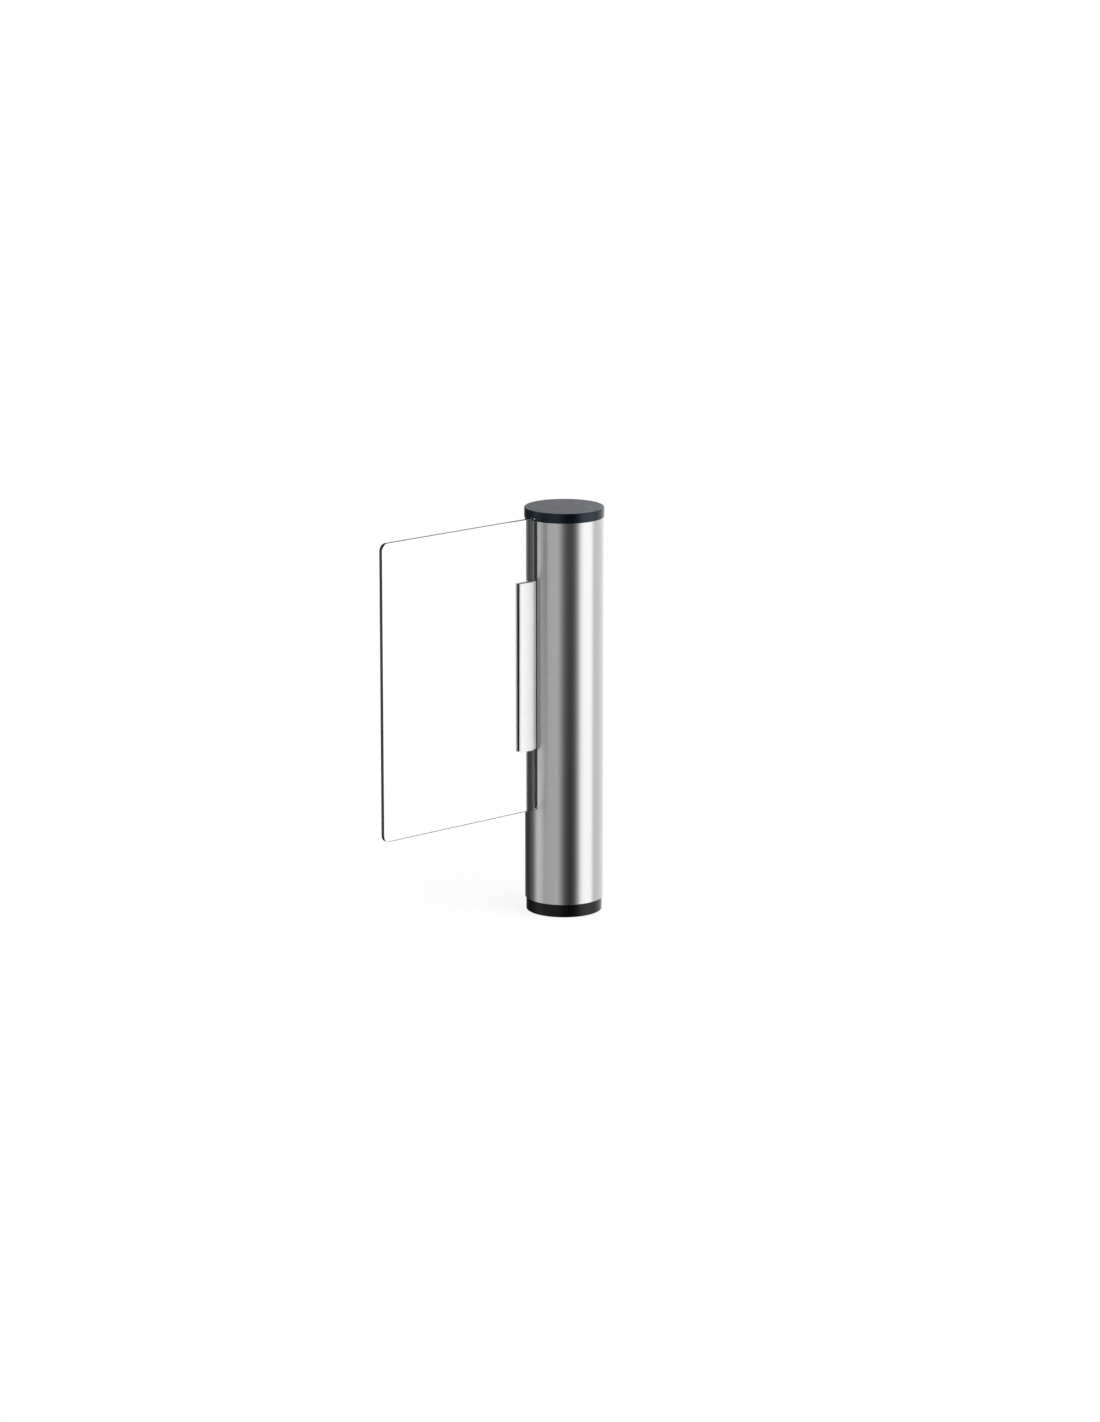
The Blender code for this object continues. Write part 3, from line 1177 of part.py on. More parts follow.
def build_electronics():
    """Control board on its bracket, power supply and terminal block, all standing on the chassis plate."""
    foot = CHASSIS_LEVEL + FIT
    back = -BRACKET_PLACE
    bracket_top = foot + BOARD_RISE + BOARD_HEIGHT + BRACKET_TOP_MARGIN
    bracket_width = BOARD_WIDTH + 2.0 * BRACKET_SIDE_MARGIN
    outline = [
        (back, foot),
        (back + BRACKET_FOOT, foot),
        (back + BRACKET_FOOT, foot + BRACKET_SHEET),
        (back + BRACKET_SHEET, foot + BRACKET_SHEET),
        (back + BRACKET_SHEET, bracket_top),
        (back, bracket_top),
    ]
    bracket = flat(
        "board_bracket", [outline], bracket_width, "zinc_steel", POST_AXIS, None, UPRIGHT_SHEET
    )
    board_foot = foot + BOARD_RISE
    board_middle = board_foot + BOARD_HEIGHT / 2
    half_y = BOARD_WIDTH / 2 - BOARD_INSET
    half_z = BOARD_HEIGHT / 2 - BOARD_INSET
    standoff = STANDOFF_LENGTH + BRACKET_SHEET / 2
    standoff_x = back + BRACKET_SHEET / 2 + standoff / 2
    number = 0
    for side in (-1.0, 1.0):
        for rise in (-1.0, 1.0):
            number += 1
            place = (standoff_x, side * half_y, board_middle + rise * half_z)
            join(bracket, rod(f"standoff_{number}", STANDOFF_RADIUS, standoff, HOLE_SIDES, place, ALONG_X))

    board_face = back + BRACKET_SHEET + STANDOFF_LENGTH + FIT
    place = (board_face + BOARD_THICKNESS / 2, 0.0, board_middle)
    size = (BOARD_THICKNESS, BOARD_WIDTH, BOARD_HEIGHT)
    board = block("control_board", size, "board_green", place)
    sink = board_face + BOARD_THICKNESS / 2
    spread = BOARD_WIDTH / RELAY_COUNT
    for index in range(RELAY_COUNT):
        y = spread * (index - (RELAY_COUNT - 1) / 2)
        place = (sink + RELAY_SIZE[0] / 2, y, board_middle - BOARD_HEIGHT / 4)
        join(board, block(f"relay_{index + 1}", RELAY_SIZE, None, place))
    for index in range(CAPACITOR_COUNT):
        y = BOARD_WIDTH / 4 * (2 * index - 1)
        place = (sink + CAPACITOR_LENGTH / 2, y, board_middle)
        capacitor = rod(
            f"capacitor_{index + 1}", CAPACITOR_RADIUS, CAPACITOR_LENGTH, HOLE_SIDES, place, ALONG_X
        )
        join(board, capacitor)
    place = (sink + HEADER_SIZE[0] / 2, 0.0, board_foot + HEADER_SIZE[2])
    join(board, block("header", HEADER_SIZE, None, place))
    pitch = HEATSINK_SIZE[1] / (2 * HEATSINK_FINS - 1)
    root = HEATSINK_SIZE[0] / 4
    comb = [(0.0, HEATSINK_SIZE[1]), (0.0, 0.0)]
    for index in range(HEATSINK_FINS):
        low = 2 * index * pitch
        comb += [(HEATSINK_SIZE[0], low), (HEATSINK_SIZE[0], low + pitch)]
        if index < HEATSINK_FINS - 1:
            comb += [(root, low + pitch), (root, low + 2.0 * pitch)]
    place = (sink, -HEATSINK_SIZE[1] / 2, board_middle + BOARD_HEIGHT / 3)
    join(board, flat("heatsink", [comb], HEATSINK_SIZE[2], None, place))

    place = (*SUPPLY_PLACE, foot + SUPPLY_SIZE[2] / 2)
    block("power_supply", SUPPLY_SIZE, "cast_aluminium", place, None, SUPPLY_CHAMFER)

    x, y = TERMINAL_PLACE
    depth = TERMINAL_SIZE[1] / 2
    way = TERMINAL_SIZE[0] / TERMINAL_WAYS
    outline = [
        (-depth, 0.0),
        (depth, 0.0),
        (depth, TERMINAL_SIZE[2] - TERMINAL_STEP),
        (depth / 2, TERMINAL_SIZE[2] - TERMINAL_STEP),
        (depth / 2, TERMINAL_SIZE[2]),
        (-depth / 2, TERMINAL_SIZE[2]),
        (-depth / 2, TERMINAL_SIZE[2] - TERMINAL_STEP),
        (-depth, TERMINAL_SIZE[2] - TERMINAL_STEP),
    ]
    sheet = (pi / 2, 0.0, pi / 2)
    terminal = flat(
        "terminal_block", [outline], TERMINAL_SIZE[0], "grey_plastic", (x, y, foot), None, sheet
    )
    slot_size = (way / 4, TERMINAL_SIZE[1] * 2.0, TERMINAL_STEP)
    for index in range(1, TERMINAL_WAYS):
        place = (x - TERMINAL_SIZE[0] / 2 + way * index, y, foot + TERMINAL_SIZE[2])
        cut(terminal, block(f"terminal_gap_{index}", slot_size, None, place))


def finish_meshes():
    """Shade the round pieces smooth and keep their edges sharp."""
    bpy.context.view_layer.update()
    graph = bpy.context.evaluated_depsgraph_get()
    finished = []
    for piece in GATE.objects:
        if piece.type == "MESH":
            finished.append((piece, bpy.data.meshes.new_from_object(piece.evaluated_get(graph))))
    for piece, mesh in finished:
        piece.modifiers.clear()
        piece.data = mesh
        mesh.name = piece.name
        mesh.shade_smooth()
        mesh.set_sharp_from_angle(angle=SHARP_ANGLE)


def main():
    wing_axis = make_axis("wing_axis", POST_AXIS)
    pinion_axis = make_axis("pinion_axis", PINION_PLACE)
    lower_cage_axis = make_axis("lower_cage_axis", POST_AXIS)
    upper_cage_axis = make_axis("upper_cage_axis", POST_AXIS)
    build_base()
    build_column()
    build_chassis()
    build_bush()
    build_drive()
    build_electronics()
    bearing(
        "lower",
        ("lower_bearing_inner_ring", "lower_bearing_outer_ring"),
        LOWER_BEARING_BORE,
        LOWER_BEARING_SECTION,
        LOWER_BEARING_WIDTH,
        LOWER_BALL_RADIUS,
        LOWER_BALL_COUNT,
        LOWER_BEARING_FOOT,
        (None, wing_axis, lower_cage_axis),
    )
    bearing(
        "upper",
        ("upper_bearing_inner_ring", "upper_bearing_outer_ring"),
        UPPER_BEARING_BORE,
        UPPER_BEARING_SECTION,
        UPPER_BEARING_WIDTH,
        UPPER_BALL_RADIUS,
        UPPER_BALL_COUNT,
        UPPER_BEARING_FOOT,
        (wing_axis, None, upper_cage_axis),
    )
    build_hubs(wing_axis)
    build_shaft(wing_axis)
    build_spine(wing_axis)
    build_sleeve(wing_axis)
    build_cap(wing_axis)
    build_clamp(wing_axis)
    build_glass(wing_axis)
    build_pinion(pinion_axis)
    finish_meshes()


main()
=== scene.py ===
"""Swing barrier gate: smooth pieces, finishes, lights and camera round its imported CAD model.

Metres, +Z up, in the CAD model's own frame. The wing stands out along -X.
"""

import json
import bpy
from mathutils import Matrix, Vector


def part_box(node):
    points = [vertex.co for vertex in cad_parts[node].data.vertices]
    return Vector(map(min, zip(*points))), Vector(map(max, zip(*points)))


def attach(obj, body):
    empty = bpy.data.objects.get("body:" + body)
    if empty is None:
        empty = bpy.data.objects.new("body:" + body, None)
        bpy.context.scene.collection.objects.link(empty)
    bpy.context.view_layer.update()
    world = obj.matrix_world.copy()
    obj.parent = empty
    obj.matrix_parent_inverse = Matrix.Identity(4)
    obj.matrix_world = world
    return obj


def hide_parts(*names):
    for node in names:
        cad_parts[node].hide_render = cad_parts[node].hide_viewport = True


bl_info = {
    "name": "Swing Barrier Gate",
    "version": (1, 0, 0),
    "blender": (4, 5, 0),
    "location": "View3D > Sidebar > Gate",
    "description": "Builds a glass swing barrier gate with its finishes, lights and camera",
    "category": "Object",
}

from math import acos, cos, pi, radians, sin, tan

import bmesh
import bpy
from bpy.props import FloatProperty, FloatVectorProperty, IntProperty, PointerProperty
from mathutils import Matrix, Vector

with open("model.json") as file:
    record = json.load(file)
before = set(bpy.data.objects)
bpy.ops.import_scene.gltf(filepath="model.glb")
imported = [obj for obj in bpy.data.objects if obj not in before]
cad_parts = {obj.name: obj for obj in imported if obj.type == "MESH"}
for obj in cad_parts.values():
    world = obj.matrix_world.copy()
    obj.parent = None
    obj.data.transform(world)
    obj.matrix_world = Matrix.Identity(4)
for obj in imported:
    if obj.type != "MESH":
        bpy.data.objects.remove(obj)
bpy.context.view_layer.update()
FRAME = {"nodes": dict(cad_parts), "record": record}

BODY_OF = {node: body for body, nodes in FRAME["record"]["behaviour"]["bodies"].items() for node in nodes}

# Points closer than this become one.
MERGE = 0.00001
# An edge that turns more than this counts as sharp.
SHARP = radians(32.0)
# Room between pieces that touch
FIT = 0.0003
# How far a cut runs past the face that it opens in
OVERRUN = 0.002
# Radius over the corners of the sockets for a 4 mm and a 2.5 mm hexagon key
LARGE_KEY = 0.0023
SMALL_KEY = 0.0014
FULL_TURN = 2.0 * pi
BOTH_WAYS = (-1.0, 1.0)
SQUARE = ((1.0, 1.0), (1.0, -1.0), (-1.0, -1.0), (-1.0, 1.0))

# Turns that stand a plan drawn in X and Y up in X and Z, and up in Y and Z
UPRIGHT_SHEET = Matrix.Rotation(pi / 2, 4, "X")
CROSSWISE_SHEET = Matrix.Rotation(pi / 2, 4, "Z") @ UPRIGHT_SHEET
# Turns for a screw or a seat, whose head faces up as drawn
HEAD_UP = Matrix.Identity(4)
HEAD_DOWN = Matrix.Rotation(pi, 4, "X")
HEAD_ALONG_X = Matrix.Rotation(pi / 2, 4, "Y")
HEAD_ALONG_Y = Matrix.Rotation(-pi / 2, 4, "X")


def linear(hex_colour):
    """The linear colour of an sRGB hex value such as #C8C8CA."""
    parts = [int(hex_colour[place : place + 2], 16) / 255.0 for place in (1, 3, 5)]
    return tuple(part / 12.92 if part <= 0.04045 else ((part + 0.055) / 1.055) ** 2.4 for part in parts)


def colour_property(name, description, hex_colour):
    return FloatVectorProperty(
        name=name, description=description, subtype="COLOR", default=linear(hex_colour), min=0.0, max=1.0
    )


def length_property(name, description, metres):
    return FloatProperty(name=name, description=description, default=metres, min=0.0, unit="LENGTH")


def count_property(name, description, count, least=3):
    return IntProperty(name=name, description=description, default=count, min=least)


def middle_of(node):
    """The middle of a CAD node's box."""
    low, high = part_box(node)
    return (low + high) / 2.0


class TubeSettings(bpy.types.PropertyGroup):
    """The turning sleeve and the seal in its slot."""

    radius: length_property("Radius", "Outer radius of the sleeve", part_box("sleeve")[1].x)
    wall: length_property("Wall", "Wall of the sleeve", 0.003)
    slot_width: length_property("Slot width", "Width of the slot that the clamp's neck passes through", 0.018)
    rim: length_property("Rim", "Rounding of the sleeve's cut edges", 0.0004)
    lip: length_property("Lip", "Rounding of the rubber seal's edges", 0.0012)
    sides: count_property("Sides", "Sides of the sleeve", 256)
    steel: colour_property("Steel", "Colour of the brushed stainless steel", "#CBCBCB")
    grain: length_property("Grain", "Spacing of the broadest brushed lines", 0.0024)


class CapSettings(bpy.types.PropertyGroup):
    """The black cap and the inlay on its top."""

    edge: length_property("Edge", "Rounding of the cap's outer edge", 0.0022)
    arris: length_property("Arris", "Rounding of the cap's other edges", 0.0004)
    inlay_edge: length_property("Inlay edge", "Rounding of the inlay's rim", 0.0005)
    sides: count_property("Sides", "Sides of the cap", 192)
    body: colour_property("Body", "Colour of the moulded cap", "#06090C")
    face: colour_property("Face", "Colour of the middle of the inlay", "#232224")
    # The inlay's bluer colour towards its edge is a painted reflection of cool light.
    painted_rim_reflection: colour_property("Face rim", "Colour of the inlay towards its edge", "#16243C")


class BaseSettings(bpy.types.PropertyGroup):
    """The black ring round the foot and the steel flange inside it."""

    edge: length_property("Edge", "Rounding of the foot ring's edges", 0.0009)
    arris: length_property("Arris", "Rounding of the flange's edges", 0.0005)
    anchor_circle: length_property("Anchor circle", "Radius of the circle of the floor anchors", 0.0715)
    sides: count_property("Sides", "Sides of the ring and flange", 192)
    ring: colour_property("Ring", "Colour of the foot ring", "#070708")
    plating: colour_property("Plating", "Colour of the zinc plating", "#B9BDC0")


class GlassSettings(bpy.types.PropertyGroup):
    """The glass wing."""

    arris: length_property("Arris", "Width of the ground edge of the pane", 0.0006)
    outer_corner: length_property("Outer corner", "Radius of the two outer corners", 0.018)
    inner_corner: length_property("Inner corner", "Radius of the corners by the post", 0.003)
    notch_gap: length_property("Notch gap", "Room round the clamp in the pane's notch", 0.002)
    notch_edge: length_property("Notch edge", "Distance of the notch from the axis", 0.1196)
    hole: length_property("Hole", "Radius of the clamp holes", 0.007)
    tint: colour_property("Tint", "Colour that the glass lends to what is behind it", "#FDFEFE")


class ClampSettings(bpy.types.PropertyGroup):
    """The clamp that holds the glass to the post."""

    arris: length_property("Arris", "Rounding of the clamp's edges", 0.0005)
    bolt_radius: length_property("Bolt radius", "Radius of the screws' shanks", 0.003)
    neck: length_property("Neck", "Half the width of the neck in the slot", 0.006)
    socket: length_property("Socket", "Radius over the corners of the hexagon socket", LARGE_KEY)
    socket_depth: length_property("Socket depth", "Depth of the hexagon socket", 0.0024)
    steel: colour_property("Steel", "Colour of the clamp's stainless steel", "#F5F5F5")
    rubber: colour_property("Rubber", "Colour of the seal and the gaskets", "#37383B")


class InsideSettings(bpy.types.PropertyGroup):
    """Bearings, gears, hubs, chassis and electronics inside the sleeve."""

    sides: count_property("Sides", "Sides of the turned inner pieces", 128)
    ring_sides: count_property("Ring sides", "Sides of the bearing rings", 160)
    edge: length_property("Edge", "Rounding of the inner pieces' edges", 0.0006)
    ring_edge: length_property("Ring edge", "Rounding of the bearing rings' corners", 0.0006)
    lower_balls: count_property("Lower balls", "Balls of the lower bearing", 24)
    upper_balls: count_property("Upper balls", "Balls of the upper bearing", 9)
    ball_play: length_property("Ball play", "Room between a ball and its groove", 0.00035)
    tooth_module: length_property("Module", "Pitch diameter of the gears for each tooth", 0.0015)
    gear_teeth: count_property("Gear teeth", "Teeth of the main gear", 48)
    pinion_teeth: count_property("Pinion teeth", "Teeth of the pinion", 16)
    backlash: length_property("Backlash", "How much each tooth flank is thinned", 0.0002)
    flank_steps: count_property("Flank steps", "Steps along a tooth flank", 5, 1)
    tooth_edge: length_property("Tooth edge", "Chamfer of the gears' faces", 0.0002)
    casting: colour_property("Aluminium", "Colour of the aluminium plates", "#C4C7CA")
    hubs: colour_property("Hubs", "Colour of the turned steel hubs", "#A3A4A6")
    gears: colour_property("Gears", "Colour of the oiled gears and shafts", "#8C8C8E")
    bearing: colour_property("Bearings", "Colour of the ground bearing steel", "#D2D2D4")
    brass: colour_property("Brass", "Colour of the ball cages", "#C9AE68")
    bronze: colour_property("Bronze", "Colour of the pilot bush", "#A98143")
    oxide: colour_property("Black oxide", "Colour of the blackened steel", "#27272A")
    board: colour_property("Board", "Colour of the circuit board", "#1F5138")
    plastic: colour_property("Plastic", "Colour of the grey plastic housings", "#828587")


class StageSettings(bpy.types.PropertyGroup):
    """Floor, lights and camera."""

    azimuth: FloatProperty(
        name="Azimuth",
        description="Where the camera stands round the gate; 0 looks along +Y",
        subtype="ANGLE",
        default=radians(-41.46),
    )
    elevation: FloatProperty(
        name="Elevation", description="How far the camera looks down", subtype="ANGLE", default=radians(13.41)
    )
    distance: length_property("Distance", "From the camera to what it looks at", 12.10)
    lens: FloatProperty(name="Lens", description="Focal length in millimetres", default=126.25, min=1.0)
    target: FloatVectorProperty(
        name="Target",
        description="The point that the camera looks at",
        subtype="XYZ",
        unit="LENGTH",
        default=(-0.02564, 0.02265, 0.4942),
    )
    floor: colour_property("Floor", "Colour of the floor and the backdrop", "#FFFFFF")
    sky: FloatProperty(
        name="Sky", description="Strength of the even light from all round", default=0.65, min=0.0
    )
    key: FloatProperty(
        name="Key", description="Strength of the key light in watts per square metre", default=1.1, min=0.0
    )


def add_node(tree, kind, inputs=None, **settings):
    """Add a shader node, fill its inputs with values or other nodes' outputs, and return its outputs."""
    node = tree.nodes.new(f"ShaderNode{kind}")
    for name, value in settings.items():
        setattr(node, name, value)
    for name, value in (inputs or {}).items():
        socket = node.inputs[name]
        if isinstance(value, bpy.types.NodeSocket):
            tree.links.new(value, socket)
        else:
            socket.default_value = value
    return node.outputs


# Between these two levels lies nearly all of a noise texture.
NOISE = {"From Min": 0.3, "From Max": 0.7}


def finish(name, draw, *values, **named):
    """The material of a name. On its first use, draw adds its nodes and gives back its surface."""
    material = bpy.data.materials.get(name)
    if material is None:
        material = bpy.data.materials.new(name)
        material.use_nodes = True
        tree = material.node_tree
        tree.nodes.clear()
        surface = draw(tree, *values, **named)
        add_node(tree, "OutputMaterial", {"Surface": surface})
    return material


def varied(tree, noise, colour, tone, roughness, spread):
    """A colour and a roughness that both vary with a noise: their outputs."""
    shade = add_node(tree, "MapRange", {"Value": noise, **NOISE, "To Min": 1.0 - tone, "To Max": 1.0 + tone})
    tinted = add_node(tree, "VectorMath", {0: tuple(colour), "Scale": shade["Result"]}, operation="SCALE")
    gloss = add_node(
        tree,
        "MapRange",
        {"Value": noise, **NOISE, "To Min": roughness - spread, "To Max": roughness + spread},
    )
    return tinted["Vector"], gloss["Result"]


def lined_metal(tree, lines, colour, roughness, drawn=0.75, contrast=0.015):
    """Metal with a tool's fine lines, and a shine that is drawn out across them.

    Drawn says how far the shine is drawn out, and contrast how much the lines stand out.
    """
    grain = add_node(tree, "TexNoise", {"Vector": lines, "Scale": 1.0, "Detail": 5.0, "Roughness": 0.62})
    tint, gloss = varied(tree, grain["Fac"], colour, contrast, roughness, 0.8 * contrast)
    round_axis = add_node(tree, "Tangent", direction_type="RADIAL", axis="Z")
    shader = add_node(
        tree,
        "BsdfPrincipled",
        {
            "Base Color": tint,
            "Metallic": 1.0,
            "Roughness": gloss,
            "Anisotropic": drawn,
            "Anisotropic Rotation": 0.25,
            "Tangent": round_axis["Tangent"],
        },
    )
    return shader["BSDF"]


def straight_metal(tree, colour, roughness, line, run, along, contrast=0.015):
    """Metal with straight lines of a width and a run, where along has 1 on the axes that they follow."""
    place = add_node(tree, "TexCoord")["Object"]
    scale = [1.0 / (run if follows else line) for follows in along]
    lines = add_node(tree, "Mapping", {"Vector": place, "Scale": scale})
    return lined_metal(tree, lines["Vector"], colour, roughness, contrast=contrast)


def turned_metal(tree, colour, roughness, centre=(0.0, 0.0)):
    """Metal off a lathe, with rings round an upright: a feed of 0.1 mm, drawn at 0.7 mm so that it shows."""
    feed = 0.0007
    place = add_node(tree, "TexCoord")["Object"]
    flat = add_node(
        tree,
        "Mapping",
        {"Vector": place, "Location": (-centre[0], -centre[1], 0.0), "Scale": (1.0, 1.0, 0.0)},
    )
    radius = add_node(tree, "VectorMath", {0: flat["Vector"]}, operation="LENGTH")
    height = add_node(tree, "SeparateXYZ", {"Vector": place})
    rings = add_node(tree, "CombineXYZ", {"X": radius["Value"], "Z": height["Z"]})
    lines = add_node(tree, "VectorMath", {0: rings["Vector"], "Scale": 1.0 / feed}, operation="SCALE")
    return lined_metal(tree, lines["Vector"], colour, roughness, drawn=0.5)


def grained(
    tree,
    colour,
    roughness,
    metallic=0.0,
    grain=0.0006,
    depth=0.00003,
    spread=0.06,
    tone=0.08,
    shine="#FFFFFF",
):
    """A surface with an even fine grain, such as moulded plastic, rubber, plating or a casting.

    Real grains are about a tenth as wide, and are drawn coarser so that they show. Clouds fifty grains
    wide vary the colour by tone and the roughness by spread.
    """
    place = add_node(tree, "TexCoord")["Object"]
    fine = add_node(
        tree, "TexNoise", {"Vector": place, "Scale": 1.0 / grain, "Detail": 2.0, "Roughness": 0.5}
    )
    broad = add_node(
        tree, "TexNoise", {"Vector": place, "Scale": 0.02 / grain, "Detail": 3.0, "Roughness": 0.55}
    )
    tint, gloss = varied(tree, broad["Fac"], colour, tone, roughness, spread)
    relief = add_node(tree, "Bump", {"Height": fine["Fac"], "Strength": 0.4, "Distance": depth})
    shader = add_node(
        tree,
        "BsdfPrincipled",
        {
            "Base Color": tint,
            "Metallic": metallic,
            "Roughness": gloss,
            "Specular Tint": (*linear(shine), 1.0),
            "Normal": relief["Normal"],
        },
    )
    return shader["BSDF"]


def acrylic(tree, middle, rim, reach):
    """Satin acrylic whose colour goes from one in the middle of a disc to another towards its rim, where the
    second colour is a painted reflection.
    """
    place = add_node(tree, "TexCoord")["Object"]
    flat = add_node(tree, "VectorMath", {0: place, 1: (1.0, 1.0, 0.0)}, operation="MULTIPLY")
    radius = add_node(tree, "VectorMath", {0: flat["Vector"]}, operation="LENGTH")
    share = add_node(
        tree, "MapRange", {"Value": radius["Value"], "From Min": 0.25 * reach, "From Max": 0.85 * reach}
    )
    # Painted reflection: the colour turns to the bluer rim colour towards the disc's edge.
    tinted = add_node(
        tree, "Mix", {"Factor": share["Result"], "A": (*middle, 1.0), "B": (*rim, 1.0)}, data_type="RGBA"
    )
    clouds = add_node(tree, "TexNoise", {"Vector": place, "Scale": 60.0, "Detail": 3.0})
    gloss = add_node(tree, "MapRange", {"Value": clouds["Fac"], **NOISE, "To Min": 0.28, "To Max": 0.36})
    shader = add_node(tree, "BsdfPrincipled", {"Base Color": tinted["Result"], "Roughness": gloss["Result"]})
    return shader["BSDF"]


def laminate(tree, colour):
    """A circuit board under lacquer, whose tracks run up and across it on a 2.54 mm pitch."""
    pitch = 0.00254
    place = add_node(tree, "TexCoord")["Object"]
    facing = add_node(tree, "Mapping", {"Vector": place, "Rotation": (0.0, pi / 2, 0.0)})
    pale = [min(part * 1.9 + 0.01, 1.0) for part in colour]
    dark = [part * 0.85 for part in colour]
    tracks = add_node(
        tree,
        "TexBrick",
        {
            "Vector": facing["Vector"],
            "Color1": (*colour, 1.0),
            "Color2": (*dark, 1.0),
            "Mortar": (*pale, 1.0),
            "Scale": 1.0,
            "Mortar Size": 0.0004,
            "Mortar Smooth": 0.1,
            "Brick Width": 4.0 * pitch,
            "Row Height": pitch,
        },
    )
    shader = add_node(tree, "BsdfPrincipled", {"Base Color": tracks["Color"], "Roughness": 0.35})
    return shader["BSDF"]


def rippled_glass(tree, tint):
    """Clear glass with level ripples, 0.1 mm deep where real ones have 0.05 mm, so that they show at all."""
    ripple_length = 0.3
    place = add_node(tree, "TexCoord")["Object"]
    # A wave texture has a wave every 2 pi / 20 of its scaled units.
    ripple = add_node(
        tree,
        "TexWave",
        {"Vector": place, "Scale": FULL_TURN / (20.0 * ripple_length), "Distortion": 1.5, "Detail": 1.0},
        bands_direction="Z",
    )
    relief = add_node(tree, "Bump", {"Height": ripple["Fac"], "Strength": 1.0, "Distance": 0.0001})
    shader = add_node(
        tree,
        "BsdfPrincipled",
        {
            "Base Color": (*tint, 1.0),
            "Roughness": 0.0,
            "IOR": 1.52,
            "Transmission Weight": 1.0,
            "Normal": relief["Normal"],
        },
    )
    return shader["BSDF"]


def brushed_stainless(scene):
    """Stainless tube brushed round on a belt: fine level lines, and reflections drawn out upright.

    The broadest lines are drawn at 2.4 mm where real ones have 0.1 mm, so that they show.
    """
    tube = scene.gate_tube
    return finish(
        "brushed_stainless_304", straight_metal, tube.steel, 0.28, tube.grain, 0.25, (1, 1, 0), contrast=0.009
    )


def epdm_rubber(scene):
    """Extruded EPDM rubber: dull, dark grey, with a faint bloom."""
    return finish("epdm_rubber", grained, scene.gate_clamp.rubber, 0.55, grain=0.0009, depth=0.00004)


def moulded_abs_black(scene):
    """Moulded ABS: near black with a fine even grain, and a cool soft shine along its edges."""
    return finish("moulded_abs_black", grained, scene.gate_cap.body, 0.24, grain=0.0008, shine="#BCDAF4")


def smoked_satin_acrylic(scene):
    """Cast acrylic, satin and smoked: dark grey in the middle, and cooler and bluer towards its rim, where
    the blue is a painted reflection.
    """
    cap = scene.gate_cap
    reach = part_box("cap_disc")[1].x
    return finish("smoked_satin_acrylic", acrylic, cap.face, cap.painted_rim_reflection, reach)


def moulded_polyamide_black(scene):
    """Moulded polyamide: black and fine grained, with a dim neutral shine."""
    ring = scene.gate_base.ring
    return finish("moulded_polyamide_black", grained, ring, 0.28, grain=0.0008, shine="#B6B6B8")


def zinc_plated_steel(scene):
    """Zinc, barrel plated: a pale bluish grey, faintly mottled and half matt."""
    plating = scene.gate_base.plating
    return finish("zinc_plated_steel", grained, plating, 0.38, 1.0, grain=0.0012, depth=0.00002, tone=0.05)


def toughened_float_glass(scene):
    """Float glass, toughened: clear and smooth, with a faint cast and the slow ripple of the furnace."""
    return finish("toughened_float_glass", rippled_glass, scene.gate_glass.tint)


def blasted_stainless_bar(scene):
    """Stainless flat bar, blasted with glass beads: pale and half matt, almost without grain."""
    steel = scene.gate_clamp.steel
    return finish("blasted_stainless_bar", grained, steel, 0.40, 0.35, 0.0008, 0.00001, 0.02, 0.02)


def milled_stainless_bar(scene):
    """The same bar's milled edges: a closer shine with faint upright tool lines.

    The lines are drawn at 1 mm where real ones have 0.1 mm, so that they show.
    """
    steel = scene.gate_clamp.steel
    return finish("milled_stainless_bar", straight_metal, steel, 0.22, 0.001, 0.12, (0, 0, 1))


def turned_stainless_a2():
    """Stainless screws, turned and tumbled: a bright grey with a smooth close shine."""
    return finish("turned_stainless_a2", grained, linear("#C9C9CB"), 0.24, 1.0, depth=0.00001)


def ground_bearing_steel(scene):
    """Through-hardened bearing steel, ground: bright, with rings almost too fine to see."""
    return finish("ground_bearing_steel", turned_metal, scene.gate_inside.bearing, 0.15)


def polished_ball_steel(scene):
    """Bearing balls, lapped: a mirror with nothing in it but what it reflects."""
    bearing = scene.gate_inside.bearing
    return finish("polished_ball_steel", grained, bearing, 0.07, 1.0, 0.0006, 0.000002, 0.01, 0.01)


def turned_cage_brass(scene):
    """Cage brass, turned and drilled: pale gold with fine rings."""
    return finish("turned_cage_brass", turned_metal, scene.gate_inside.brass, 0.24)


def black_oxide_steel(scene):
    """Steel blackened in a hot salt bath: near black, satin, with a warm grey sheen."""
    return finish("black_oxide_steel", grained, scene.gate_inside.oxide, 0.42, 0.7, 0.0008, 0.00003)


def milled_aluminium_plate(scene):
    """Aluminium tooling plate, face milled: pale and satin with a fine even grain."""
    return finish("milled_aluminium_plate", grained, scene.gate_inside.casting, 0.36, 1.0, 0.0010, 0.00004)


def turned_gearbox_steel(scene):
    """The gearbox's steel ring, turned and oiled: mid grey, with soft bands of shine round it."""
    return finish("turned_gearbox_steel", turned_metal, scene.gate_inside.gears, 0.30, middle_of("gearbox"))


def turned_motor_bell(scene):
    """Die-cast aluminium, turned clean: pale silver with rings, against the motor's black fins."""
    return finish("turned_motor_bell", turned_metal, scene.gate_inside.casting, 0.32, middle_of("gearbox"))


def turned_pinion_shaft(scene):
    """The pinion's shaft, turned and ground: a darker steel with close bright rings."""
    return finish("turned_pinion_shaft", turned_metal, scene.gate_inside.gears, 0.24, middle_of("gearbox"))


def turned_shaft_steel(scene):
    """Heat-treated shaft steel, turned and oiled: dark grey rings with a soft shine."""
    return finish("turned_shaft_steel", turned_metal, scene.gate_inside.gears, 0.26)


def oiled_gear_steel(scene):
    """Case-hardened gear steel, hobbed and oiled: dark grey with a wet shine."""
    return finish("oiled_gear_steel", grained, scene.gate_inside.gears, 0.26, 1.0, 0.0007, 0.00002)


def sintered_bronze(scene):
    """Bronze pressed from powder: brown gold, dulled by its pores."""
    return finish("sintered_bronze", grained, scene.gate_inside.bronze, 0.38, 1.0, 0.0005, 0.00005)


